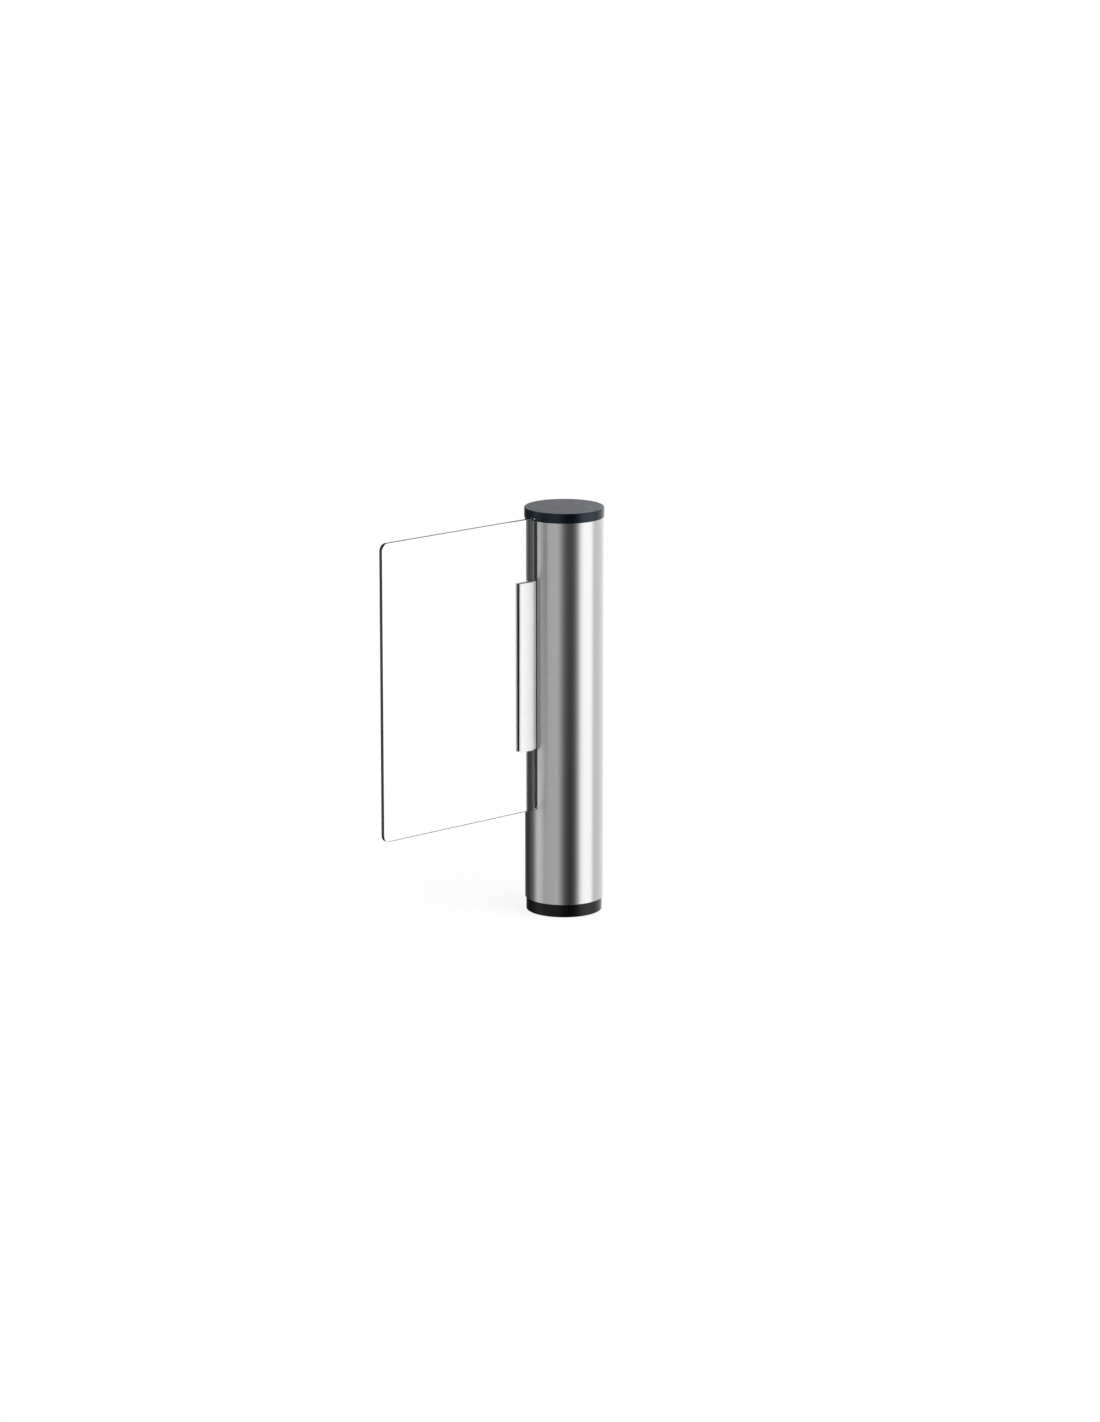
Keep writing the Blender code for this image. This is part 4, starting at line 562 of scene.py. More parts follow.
def turned_hub_steel(scene):
    """Free-cutting steel, turned and left bare: mid grey with fine rings."""
    return finish("turned_hub_steel", turned_metal, scene.gate_inside.hubs, 0.30)


def solder_mask_green(scene):
    """Glass-fibre laminate under green lacquer: a soft gloss, with copper tracks paler than the rest."""
    return finish("solder_mask_green", laminate, scene.gate_inside.board)


def moulded_polycarbonate_grey(scene):
    """Polycarbonate, moulded with a fine spark-eroded grain: mid grey and matt."""
    plastic = scene.gate_inside.plastic
    return finish("moulded_polycarbonate_grey", grained, plastic, 0.45, grain=0.0007)


def moulded_black_epoxy():
    """Epoxy of chip and connector bodies, moulded: deep grey and matt."""
    return finish("moulded_black_epoxy", grained, linear("#1B1B1D"), 0.5, grain=0.0007, depth=0.00002)


def moulded_pbt_blue():
    """PBT of relay covers, moulded smooth: a clear mid blue, half matt."""
    return finish("moulded_pbt_blue", grained, linear("#2F5E8C"), 0.42, grain=0.0007, depth=0.00002)


def moulded_polyamide_green():
    """Polyamide of plug-in terminals, moulded: leaf green and dull."""
    return finish("moulded_polyamide_green", grained, linear("#3E8A55"), 0.45, grain=0.0007, depth=0.00002)


def bright_tinned_metal():
    """Metal with bright tin on it: pale silver with a soft even shine."""
    return finish("bright_tinned_metal", grained, linear("#C9CBCC"), 0.30, 1.0, depth=0.00001)


def anodised_aluminium_case(scene):
    """Pressed aluminium, etched and anodised: pale and satin, without any direction in its shine."""
    return finish("anodised_aluminium_case", grained, scene.gate_inside.casting, 0.42, 1.0, 0.0009, 0.00002)


def bevel(shape, items, width, segments, affect):
    """Round corners or edges."""
    bmesh.ops.bevel(
        shape,
        geom=items,
        offset=width,
        offset_type="OFFSET",
        segments=segments,
        profile=0.5,
        affect=affect,
        clamp_overlap=True,
        material=-1,
    )


def soften(shape, width, segments=3):
    """Round every sharp edge."""
    edges = [edge for edge in shape.edges if edge.is_manifold and edge.calc_face_angle(0.0) > SHARP]
    bevel(shape, edges, width, segments, "EDGES")


def spun(shape, centre, angle, steps, **ways):
    """Spin everything in a shape round an upright."""
    bmesh.ops.spin(
        shape,
        geom=shape.verts[:] + shape.edges[:] + shape.faces[:],
        cent=(centre[0], centre[1], 0.0),
        axis=(0.0, 0.0, 1.0),
        dvec=(0.0, 0.0, 0.0),
        angle=angle,
        steps=steps,
        **ways,
    )


def round_corners(shape, corners, run, segments, least=0.0):
    """Round the corners whose entries in a run end with a rounding."""
    for corner, (_, _, *rounding) in zip(corners, run):
        if sum(rounding) > 0.0:
            bevel(shape, [corner], max(*rounding, least), segments, "VERTICES")


def turned(section, sides, centre=(0.0, 0.0)):
    """Revolve corners round the upright through a centre.

    They are (radius, height), or (radius, height, rounding) where they are rounded.
    """
    shape = bmesh.new()
    axis = centre[0]
    corners = [shape.verts.new((axis + radius, centre[1], height)) for radius, height, *_ in section]
    for first, second in zip(corners, corners[1:] + corners[:1]):
        if first.co.x - axis > MERGE or second.co.x - axis > MERGE:
            shape.edges.new((first, second))
    round_corners(shape, corners, section, 4)
    spun(shape, centre, FULL_TURN, sides, use_merge=True)
    bmesh.ops.remove_doubles(shape, verts=shape.verts[:], dist=MERGE)
    return shape


def cut_plate(outline, holes, foot, top, arris, windows=()):
    """A flat plate in the XY plane between two heights, with its arrises ground at 45 degrees.

    The outline's corners are (x, y), or (x, y, rounding) where they are rounded. Windows are more outlines,
    and holes are (x, y, radius, sides).
    """
    # The arris needs room to turn a rounded corner.
    least = 1.3 * arris
    shape = bmesh.new()
    for run in (outline, *windows):
        corners = [shape.verts.new((x, y, 0.0)) for x, y, *_ in run]
        shape.faces.new(corners)
        round_corners(shape, corners, run, 12, least)
    bmesh.ops.delete(shape, geom=shape.faces[:], context="FACES_ONLY")
    return filled_plate(shape, holes, foot, top, arris)


def filled_plate(shape, holes, foot, top, arris):
    """Make a flat outline at height 0 a plate between two heights."""
    for x, y, radius, sides in holes:
        place = Matrix.Translation((x, y, 0.0))
        bmesh.ops.create_circle(shape, cap_ends=False, segments=sides, radius=radius, matrix=place)
    bmesh.ops.triangle_fill(
        shape, use_beauty=True, use_dissolve=False, edges=shape.edges[:], normal=(0.0, 0.0, 1.0)
    )
    raised = bmesh.ops.extrude_face_region(shape, geom=shape.faces[:])["geom"]
    raised = [item for item in raised if isinstance(item, bmesh.types.BMVert)]
    bmesh.ops.translate(shape, verts=raised, vec=(0.0, 0.0, top - foot - 2.0 * arris))
    bmesh.ops.recalc_face_normals(shape, faces=shape.faces[:])
    for side in (1.0, -1.0):
        broad = [face for face in shape.faces if face.normal.z * side > 0.9]
        bmesh.ops.inset_region(
            shape, faces=broad, thickness=arris, depth=arris, use_even_offset=True, use_boundary=True
        )
    return placed(shape, place=(0.0, 0.0, foot + arris))


def placed(shape, turn=HEAD_UP, place=(0.0, 0.0, 0.0)):
    """Turn a shape about the origin, then move it from there to its place."""
    bmesh.ops.transform(shape, matrix=Matrix.Translation(place) @ turn, verts=shape.verts[:])
    return shape


def bar(low, high, edge=0.0, segments=2):
    """A bar between two opposite corners, with its edges rounded."""
    low, high = Vector(low), Vector(high)
    shape = bmesh.new()
    place = Matrix.Translation((low + high) / 2.0) @ Matrix.Diagonal((*(high - low), 1.0))
    bmesh.ops.create_cube(shape, size=1.0, matrix=place)
    if edge > 0.0:
        soften(shape, edge, segments)
    return shape


def rod(radius, start, end, sides=32, edge=0.0):
    """A rod from one point to another, with its ends' edges rounded."""
    start, end = Vector(start), Vector(end)
    along = end - start
    shape = bmesh.new()
    place = Matrix.Translation((start + end) / 2.0) @ along.to_track_quat("Z", "Y").to_matrix().to_4x4()
    bmesh.ops.create_cone(
        shape, cap_ends=True, segments=sides, radius1=radius, radius2=radius, depth=along.length, matrix=place
    )
    if edge > 0.0:
        soften(shape, edge, 2)
    return shape


def pin(radius, spot, start, end, sides=32, edge=0.0):
    """A rod along the upright through a spot in plan, from one height to another."""
    return rod(radius, (spot[0], spot[1], start), (spot[0], spot[1], end), sides, edge)


def around(count, radius, start=0.0, centre=(0.0, 0.0)):
    """Places in plan, evenly round a centre."""
    angles = [start + FULL_TURN * index / count for index in range(count)]
    return [(centre[0] + radius * cos(angle), centre[1] + radius * sin(angle)) for angle in angles]


def gather(*shapes):
    """One shape out of several. A (shape, number) pair says which of its piece's finishes the shape takes."""
    whole = bmesh.new()
    for entry in shapes:
        shape, index = entry if isinstance(entry, tuple) else (entry, 0)
        mesh = bpy.data.meshes.new("part")
        shape.to_mesh(mesh)
        shape.free()
        mesh.polygons.foreach_set("material_index", [index] * len(mesh.polygons))
        whole.from_mesh(mesh)
        bpy.data.meshes.remove(mesh)
    return whole


def extruded_rim(shape, rim, rise, share=1.0, close=False):
    """Extrude a loop of edges up, scale it, and close it if asked. The new loop is given back."""
    grown = bmesh.ops.extrude_edge_only(shape, edges=rim)["geom"]
    corners = [item for item in grown if isinstance(item, bmesh.types.BMVert)]
    edges = [item for item in grown if isinstance(item, bmesh.types.BMEdge)]
    bmesh.ops.translate(shape, verts=corners, vec=(0.0, 0.0, rise))
    bmesh.ops.scale(shape, verts=corners, vec=(share, share, 1.0))
    new_rim = [edge for edge in edges if all(vert in corners for vert in edge.verts)]
    if close:
        bmesh.ops.edgeloop_fill(shape, edges=new_rim)
    return new_rim


def socket_screw(levels, socket, socket_depth, sides=32):
    """A screw that points down, with a hexagon socket.

    Levels are (depth, radius) corners, from the head's face at height 0 down.
    """
    shape = bmesh.new()
    bmesh.ops.create_circle(shape, cap_ends=False, segments=sides, radius=levels[0][1])
    rim = shape.edges[:]
    bmesh.ops.create_circle(shape, cap_ends=False, segments=6, radius=socket)
    hexagon = [edge for edge in shape.edges if edge not in rim]
    bmesh.ops.bridge_loops(shape, edges=shape.edges[:])
    extruded_rim(shape, hexagon, -socket_depth, close=True)
    for (above, wide), (below, narrow) in zip(levels, levels[1:]):
        rim = extruded_rim(shape, rim, above - below, narrow / wide, (below, narrow) == levels[-1])
    return shape


def screw_ring(spots, face, turn, *screw):
    """Like socket screws at spots in plan, with their heads' faces at one height."""
    return gather(*[placed(socket_screw(*screw), turn, (x, y, face)) for x, y in spots])


def countersunk(shank):
    """The (depth, radius) levels of a countersunk head, which is twice as wide as its shank."""
    return [(0.0, 2.0 * shank), (shank, shank)]


def countersunk_seat(shank, depth, turn, place):
    """The hole that a countersunk screw sits in, with its head's face at a place."""
    head = 2.0 * shank
    section = [
        (0.0, OVERRUN),
        (head + FIT, OVERRUN),
        (head + FIT, -FIT),
        (shank + FIT, shank - head - FIT),
        (shank + FIT, -depth),
        (0.0, -depth),
    ]
    return placed(turned(section, 32), turn, place)


def threaded(radius, top, foot, pitch):
    """Corners of a thread from the top down, drawn as closed grooves with a lead-in at its ends."""
    root = radius - 0.5 * pitch
    corners = [(root, top)]
    for turn in range(int((top - foot) / pitch)):
        crest = top - (turn + 0.5) * pitch
        corners += [(radius, crest + 0.1 * pitch), (radius, crest - 0.1 * pitch), (root, crest - 0.5 * pitch)]
    corners.append((root, foot))
    return corners


def toothed(half_tooth, teeth, phase, holes, foot, top, arris):
    """A plate between two heights whose rim repeats a tooth.

    The half tooth has (radius, angle) corners, from its middle to the middle of the next gap.
    """
    shape = bmesh.new()
    corners = [shape.verts.new((radius * cos(turn), radius * sin(turn), 0.0)) for radius, turn in half_tooth]
    for first, second in zip(corners, corners[1:]):
        shape.edges.new((first, second))
    bmesh.ops.mirror(shape, geom=shape.verts[:] + shape.edges[:], matrix=Matrix(), merge_dist=MERGE, axis="Y")
    bmesh.ops.remove_doubles(shape, verts=shape.verts[:], dist=MERGE)
    placed(shape, Matrix.Rotation(phase, 4, "Z"))
    spun(shape, (0.0, 0.0), FULL_TURN * (teeth - 1) / teeth, teeth - 1, use_duplicate=True)
    bmesh.ops.remove_doubles(shape, verts=shape.verts[:], dist=MERGE)
    return filled_plate(shape, holes, foot, top, arris)


def gear(teeth, phase, holes, foot, top, inside):
    """A spur gear with involute flanks, thinned a little for backlash."""
    module = inside.tooth_module
    pressure = radians(20.0)
    pitch = module * teeth / 2.0
    base = pitch * cos(pressure)
    tip = pitch + module
    root = pitch - 1.25 * module
    start = max(base, root)
    half = (pi * module / 4.0 - inside.backlash) / pitch + tan(pressure) - pressure
    flank = []
    for step in range(inside.flank_steps + 1):
        radius = tip + (start - tip) * step / inside.flank_steps
        roll = acos(min(base / radius, 1.0))
        flank.append((radius, half - tan(roll) + roll))
    half_tooth = [(tip, 0.0), *flank]
    if start > root:
        half_tooth.append((root, flank[-1][1]))
    half_tooth.append((root, pi / teeth))
    return toothed(half_tooth, teeth, phase, holes, foot, top, inside.tooth_edge)


def new_object(name, shape):
    """Link a finished shape as an object at the origin."""
    bmesh.ops.recalc_face_normals(shape, faces=shape.faces[:])
    mesh = bpy.data.meshes.new(name)
    shape.to_mesh(mesh)
    shape.free()
    piece = bpy.data.objects.new(name, mesh)
    bpy.context.scene.collection.objects.link(piece)
    return piece


def keep_result(piece):
    """Make what the modifiers give the piece's own mesh."""
    bpy.context.view_layer.update()
    finished = bpy.data.meshes.new_from_object(piece.evaluated_get(bpy.context.evaluated_depsgraph_get()))
    piece.modifiers.clear()
    finished.name = piece.name
    piece.data = finished


def combine(piece, shapes, operation):
    """Join closed shapes to a piece, or cut them out of it, by Boolean modifiers."""
    helpers = [new_object("helper", shape) for shape in shapes]
    for helper in helpers:
        boolean = piece.modifiers.new("helper", "BOOLEAN")
        boolean.operation = operation
        boolean.solver = "EXACT"
        boolean.object = helper
    keep_result(piece)
    for helper in helpers:
        bpy.data.objects.remove(helper, do_unlink=True)


def dress(name, shape, node, *finishes, slot=None, joins=(), cuts=()):
    """Turn a finished shape into a piece that stands for a CAD node and moves with its body.

    Flat faces are kept flat beside their rounded edges by weighted normals.
    """
    piece = new_object(name, shape)
    for material in finishes:
        piece.data.materials.append(material)
    if joins:
        combine(piece, joins, "UNION")
    if cuts:
        combine(piece, cuts, "DIFFERENCE")
    piece.data.shade_smooth()
    piece.data.set_sharp_from_angle(angle=SHARP)
    weigh = piece.modifiers.new("even_shading", "WEIGHTED_NORMAL")
    weigh.keep_sharp = True
    keep_result(piece)
    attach(piece, BODY_OF[node])
    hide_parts(node)
    return piece


def rectangle(left, foot, right, top):
    """The corners of a rectangle."""
    return [(left, foot), (right, foot), (right, top), (left, top)]


def in_slot(face, foot, half):
    """Whether a face lies above the slot's foot and nearer to its middle than half a width."""
    middle = face.calc_center_median()
    return middle.x < 0.0 and abs(middle.y) < half and middle.z > foot


def tube_sleeve(scene):
    """The sleeve, open in its slot from the seal's foot up."""
    tube = scene.gate_tube
    low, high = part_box("sleeve")
    slot_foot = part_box("slot_seal")[0].z - FIT
    shape = bmesh.new()
    start = Matrix.Translation((0.0, 0.0, low.z))
    bmesh.ops.create_circle(shape, cap_ends=False, segments=tube.sides, radius=tube.radius, matrix=start)
    rim = extruded_rim(shape, shape.edges[:], slot_foot - low.z)
    extruded_rim(shape, rim, high.z - slot_foot)
    half = tube.slot_width / 2.0
    for side in BOTH_WAYS:
        near = [face for face in shape.faces if in_slot(face, slot_foot, tube.slot_width)]
        edges = {edge for face in near for edge in face.edges}
        corners = {vert for face in near for vert in face.verts}
        bmesh.ops.bisect_plane(
            shape,
            geom=near + list(edges) + list(corners),
            plane_co=(0.0, side * half, 0.0),
            plane_no=(0.0, 1.0, 0.0),
            dist=MERGE / 10.0,
        )
    opening = [face for face in shape.faces if in_slot(face, slot_foot, half)]
    bmesh.ops.delete(shape, geom=opening, context="FACES")
    bmesh.ops.recalc_face_normals(shape, faces=shape.faces[:])
    bmesh.ops.solidify(shape, geom=shape.faces[:], thickness=tube.wall)
    soften(shape, tube.rim)
    dress("tube_sleeve", shape, "sleeve", brushed_stainless(scene))


def slot_lip(scene):
    """The seal in the slot, with a window for the clamp's neck."""
    low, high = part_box("slot_seal")
    clamp_low, clamp_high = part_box("clamp_body")
    neck = scene.gate_clamp.neck + FIT
    outline = rectangle(low.y, low.z, high.y, high.z)
    window = rectangle(-neck, clamp_low.z - FIT, neck, clamp_high.z + FIT)
    shape = cut_plate(outline, [], low.x, high.x, scene.gate_tube.lip, [window])
    dress("slot_lip", placed(shape, CROSSWISE_SHEET), "slot_seal", epdm_rubber(scene))


def painted_shade_bead(scene):
    """A thin dark rubber bead on the glass's inner edge above and below the clamp, which closes the gap to
    the seal and is a dark sheet put there to draw that gap's shade as a dark line.
    """
    low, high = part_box("glass_wing")
    clamp_low, clamp_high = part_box("clamp_body")
    thin = 0.0002
    depth = high.y - thin
    clear = 0.0032
    beads = []
    for foot, top in ((low.z, clamp_low.z), (clamp_high.z, high.z)):
        near = (high.x - 2.0 * thin, -depth, foot + clear)
        far = (high.x + thin, depth, top - clear)
        beads.append(bar(near, far, thin, 3))
    # Painted shade: the dark bead stands in for the shade in the gap between the glass and the seal.
    dress("painted_shade_bead", gather(*beads), "slot_seal", epdm_rubber(scene))


def top_cap(scene):
    """The cap, with a recess for the inlay on top and a skirt inside the sleeve."""
    cap = scene.gate_cap
    low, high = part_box("cap")
    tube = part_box("sleeve")[1]
    inlay_low, inlay_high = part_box("cap_disc")
    bore = tube.x - scene.gate_tube.wall - FIT
    foot = tube.z + FIT
    recess = inlay_high.x + FIT
    floor = inlay_low.z - FIT
    skirt = bore - 0.003
    ceiling = floor - 0.008
    section = [
        (0.0, floor),
        (recess, floor),
        (recess, high.z, cap.arris),
        (high.x, high.z, cap.edge),
        (high.x, foot, cap.arris),
        (bore, foot),
        (bore, low.z, cap.arris),
        (skirt, low.z, cap.arris),
        (skirt, ceiling, cap.edge),
        (0.0, ceiling),
    ]
    dress("top_cap", turned(section, cap.sides), "cap", moulded_abs_black(scene))


def cap_inlay(scene):
    """The plain disc in the cap's recess."""
    cap = scene.gate_cap
    low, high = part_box("cap_disc")
    section = [(0.0, high.z), (high.x, high.z, cap.inlay_edge), (high.x, low.z, cap.inlay_edge), (0.0, low.z)]
    dress("cap_inlay", turned(section, cap.sides), "cap_disc", smoked_satin_acrylic(scene))


def foot_ring(scene):
    """The ring round the flange, with a spigot up inside the sleeve and a lip over the flange."""
    base = scene.gate_base
    low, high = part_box("base_ring")
    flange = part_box("base_flange")[1]
    tube_low, tube_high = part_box("sleeve")
    spigot = tube_high.x - scene.gate_tube.wall - 0.0035
    step = tube_low.z - 0.001
    inner = flange.x + FIT
    lip = inner - 0.0035
    section = [
        (spigot, high.z, base.edge),
        (spigot, step),
        (high.x, step, base.edge),
        (high.x, low.z, base.edge),
        (inner, low.z),
        (inner, flange.z + FIT),
        (lip, flange.z + FIT),
        (lip, high.z, base.edge),
    ]
    dress("foot_ring", turned(section, base.sides), "base_ring", moulded_polyamide_black(scene))


def floor_flange(scene):
    """The flange on the floor, with four anchor holes and a cable hole."""
    base = scene.gate_base
    low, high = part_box("base_flange")
    anchor_hole = 0.006
    cable_hole = 0.014
    cable_reach = 0.028
    holes = [(x, y, anchor_hole, 32) for x, y in around(4, base.anchor_circle, pi / 4)]
    holes.append((cable_reach, 0.0, cable_hole, 48))
    shape = cut_plate(around(base.sides, high.x), holes, low.z, high.z, base.arris)
    dress("floor_flange", shape, "base_flange", zinc_plated_steel(scene))


def glass_pane(scene):
    """The pane, with a notch for the clamp's web and holes for its outer screws."""
    glass = scene.gate_glass
    low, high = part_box("glass_wing")
    clamp_low, clamp_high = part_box("clamp_body")
    notch = -glass.notch_edge
    foot = clamp_low.z - glass.notch_gap
    top = clamp_high.z + glass.notch_gap
    outline = [
        (low.x, low.z, glass.outer_corner),
        (high.x, low.z, glass.inner_corner),
        (high.x, foot, glass.inner_corner),
        (notch, foot, glass.inner_corner),
        (notch, top, glass.inner_corner),
        (high.x, top, glass.inner_corner),
        (high.x, high.z, glass.inner_corner),
        (low.x, high.z, glass.outer_corner),
    ]
    spots = [middle_of(f"clamp_screw_{number}") for number in (4, 5, 6)]
    holes = [(spot.x, spot.z, glass.hole, 32) for spot in spots]
    shape = placed(cut_plate(outline, holes, low.y, high.y, glass.arris), UPRIGHT_SHEET)
    pane = dress("glass_pane", shape, "glass_wing", toughened_float_glass(scene))
    pane.visible_shadow = False


def clamp_jaw(scene):
    """The clamp's jaw behind the glass, with its web and its neck through the slot."""
    clamp = scene.gate_clamp
    low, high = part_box("clamp_body")
    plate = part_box("clamp_plate")[1]
    inner = plate.x
    cover = plate.y + FIT
    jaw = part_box("gasket_far")[1].y + FIT
    web = -0.119
    outline = [
        (high.x, -clamp.neck),
        (high.x, clamp.neck),
        (inner, clamp.neck),
        (inner, high.y, clamp.arris),
        (low.x, high.y, clamp.arris),
        (low.x, jaw),
        (web, jaw),
        (web, cover),
        (inner, cover),
        (inner, -clamp.neck),
    ]
    shape = cut_plate(outline, [], low.z, high.z, clamp.arris)
    seats = []
    for number in range(1, 7):
        spot = middle_of(f"clamp_screw_{number}")
        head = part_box(f"clamp_screw_{number}")[1].y + FIT
        place = (spot.x, head, spot.z)
        seats.append(countersunk_seat(clamp.bolt_radius, head - plate.y, HEAD_ALONG_Y, place))
    finishes = (blasted_stainless_bar(scene), milled_stainless_bar(scene))
    split_finish(dress("clamp_jaw", shape, "clamp_body", *finishes, cuts=seats))


def clamp_cover(scene):
    """The clamp's plate in front of the glass."""
    shape = bar(*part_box("clamp_plate"), scene.gate_clamp.arris, 3)
    finishes = (blasted_stainless_bar(scene), milled_stainless_bar(scene))
    split_finish(dress("clamp_cover", shape, "clamp_plate", *finishes))


def split_finish(piece):
    """Give a clamp piece's narrow faces its second finish."""
    for face in piece.data.polygons:
        face.material_index = 0 if abs(face.normal.y) > 0.5 or face.normal.x > 0.5 else 1


def painted_gaskets(scene):
    """The two gaskets keep their CAD shape and get their rubber."""
    for node in ("gasket_near", "gasket_far"):
        mesh = FRAME["nodes"][node].data
        mesh.materials.clear()
        mesh.materials.append(epdm_rubber(scene))


def clamp_bolts(scene):
    """The clamp's six countersunk screws."""
    clamp = scene.gate_clamp
    for number in range(1, 7):
        node = f"clamp_screw_{number}"
        low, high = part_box(node)
        spot = middle_of(node)
        levels = [*countersunk(clamp.bolt_radius), (high.y - low.y, clamp.bolt_radius)]
        shape = socket_screw(levels, clamp.socket, clamp.socket_depth)
        placed(shape, HEAD_ALONG_Y, (spot.x, high.y, spot.z))
        dress(f"clamp_bolt_{number}", shape, node, turned_stainless_a2())


def race(pitch, radius, land, level, way):
    """Corners of a ball groove from the top down, where way is 1 in the outer ring and -1 in the inner."""
    half = acos(land / radius)
    steps = 10
    angles = [half - 2.0 * half * step / steps for step in range(steps + 1)]
    return [(pitch + way * radius * cos(angle), level + radius * sin(angle)) for angle in angles]


def bearing_rings(scene, place, bore, rim, ball):
    """A bearing's two rings, with a groove for the balls, and in the outer one a step for each seal."""
    inside = scene.gate_inside
    edge = inside.ring_edge
    steel = ground_bearing_steel(scene)
    low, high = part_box(f"{place}_bearing_inner_ring")
    level = (low.z + high.z) / 2.0
    pitch = (bore + rim) / 2.0
    land = 0.575 * ball
    groove = race(pitch, ball + inside.ball_play, land, level, -1.0)
    section = [(bore, high.z, edge), (pitch - land, high.z, edge), *groove]
    section += [(pitch - land, low.z, edge), (bore, low.z, edge)]
    shape = turned(section, inside.ring_sides)
    dress(f"{place}_inner_race", shape, f"{place}_bearing_inner_ring", steel)

    groove = race(pitch, ball + inside.ball_play, land, level, 1.0)
    inner = pitch + land
    seal = inner + 0.0005
    step = 0.001
    slope = 0.0013
    section = [
        (rim, high.z, edge),
        (seal, high.z, 0.0002),
        (seal, high.z - step),
        (inner, high.z - slope),
        *groove,
        (inner, low.z + slope),
        (seal, low.z + step),
        (seal, low.z, 0.0002),
        (rim, low.z, edge),
    ]
    shape = turned(section, inside.ring_sides)
    dress(f"{place}_outer_race", shape, f"{place}_bearing_outer_ring", steel)


def caged_balls(scene, place, pitch, ball, balls):
    """A bearing's balls and the drilled cage that holds them apart."""
    inside = scene.gate_inside
    node = f"{place}_ball_cage"
    level = middle_of(f"{place}_bearing_inner_ring").z
    wall = 0.325 * ball
    half = 1.35 * ball
    section = [(pitch + way * wall, level + rise * half, 0.0003) for way, rise in SQUARE]
    cage = turned(section, inside.ring_sides)
    pockets = []
    spheres = bmesh.new()
    for x, y in around(balls, 1.0):
        way = Vector((x, y, 0.0))
        spot = pitch * way + Vector((0.0, 0.0, level))
        reach = 2.0 * wall * way
        pockets.append(rod(ball + 0.0002, spot - reach, spot + reach))
        bmesh.ops.create_icosphere(spheres, subdivisions=4, radius=ball, matrix=Matrix.Translation(spot))
    dress(f"{place}_cage", cage, node, turned_cage_brass(scene), cuts=[gather(*pockets)])
    dress(f"{place}_ball_set", spheres, node, polished_ball_steel(scene), slot="bearing_steel")


def column_weldment(scene):
    """The column: a pipe with a bearing seat, a clip's groove, a drilled head and the weld at its foot."""
    inside = scene.gate_inside
    edge = inside.edge
    low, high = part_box("core_column")
    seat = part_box("lower_bearing_inner_ring")[0].z - FIT
    clip_low, clip_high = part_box("bearing_circlip")
    pipe = 0.05715
    bore = pipe - 0.005
    land = pipe + 0.00255
    land_top = clip_high.z + 0.0036
    groove = clip_high.x - 0.0055
    shoulder = land + 0.0038
    shoulder_foot = seat - 0.0043
    plate = high.z - 0.012
    cable_hole = 0.030
    section = [
        (high.x, high.z, edge),
        (high.x, plate, edge),
        (pipe, plate, 0.004),
        (pipe, land_top),
        (land, land_top, edge),
        (land, clip_high.z + FIT),
        (groove, clip_high.z + FIT),
        (groove, clip_low.z - FIT),
        (land, clip_low.z - FIT),
        (land, seat),
        (shoulder, seat, edge),
        (shoulder, shoulder_foot, edge),
        (pipe, shoulder_foot, 0.0008),
        # The weld bead's rounded back
        (pipe, low.z + 0.0045),
        (pipe + 0.0018, low.z + 0.0038),
        (pipe + 0.0032, low.z + 0.0024),
        (pipe + 0.0040, low.z + 0.0004),
        (pipe + 0.0040, low.z),
        (bore, low.z, edge),
        (bore, plate, 0.003),
        (cable_hole, plate, edge),
        (cable_hole, high.z, edge),
    ]
    holes = [pin(STUD_HOLE, spot, plate - OVERRUN, high.z + OVERRUN) for spot in pillar_spots()]
    shape = turned(section, inside.sides)
    dress("column_weldment", shape, "core_column", zinc_plated_steel(scene), cuts=holes)


def snap_ring(scene):
    """An open ring with an eye in each end, as snap-ring pliers need."""
    low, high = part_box("bearing_circlip")
    outer = high.x
    inner = outer - 0.0047
    half_gap = radians(5.4)
    eye_turn = radians(8.0)
    eye = 0.0011
    shape = bmesh.new()
    corners = [(inner, low.z), (outer, low.z), (outer, high.z), (inner, high.z)]
    shape.faces.new([shape.verts.new((radius, 0.0, level)) for radius, level in corners])
    spun(shape, (0.0, 0.0), FULL_TURN - 2.0 * half_gap, scene.gate_inside.sides)
    placed(shape, Matrix.Rotation(half_gap, 4, "Z"))
    middle = (inner + outer) / 2.0
    spots = [(middle * cos(side * eye_turn), middle * sin(side * eye_turn)) for side in BOTH_WAYS]
    eyes = [pin(eye, spot, low.z - 0.001, high.z + 0.001) for spot in spots]
    dress("snap_ring", shape, "bearing_circlip", black_oxide_steel(scene), cuts=eyes)


# Radii of the holes for a pillar's M8 stud and for an M6 screw
STUD_HOLE = 0.004 + FIT
SCREW_HOLE = 0.003 + FIT
# Radii of the gearbox's spigot and of the pilot bush in the gear plate
SPIGOT = 0.016
BUSH = 0.014


def pillar_spots():
    """Where the pillars stand."""
    return [middle_of(f"lower_pillar_{number}") for number in (1, 2, 3)]


def gearbox_bolts():
    """Where bolts hold the gearbox to the gear plate, in plan."""
    return around(4, 0.022, pi / 4, middle_of("gearbox"))


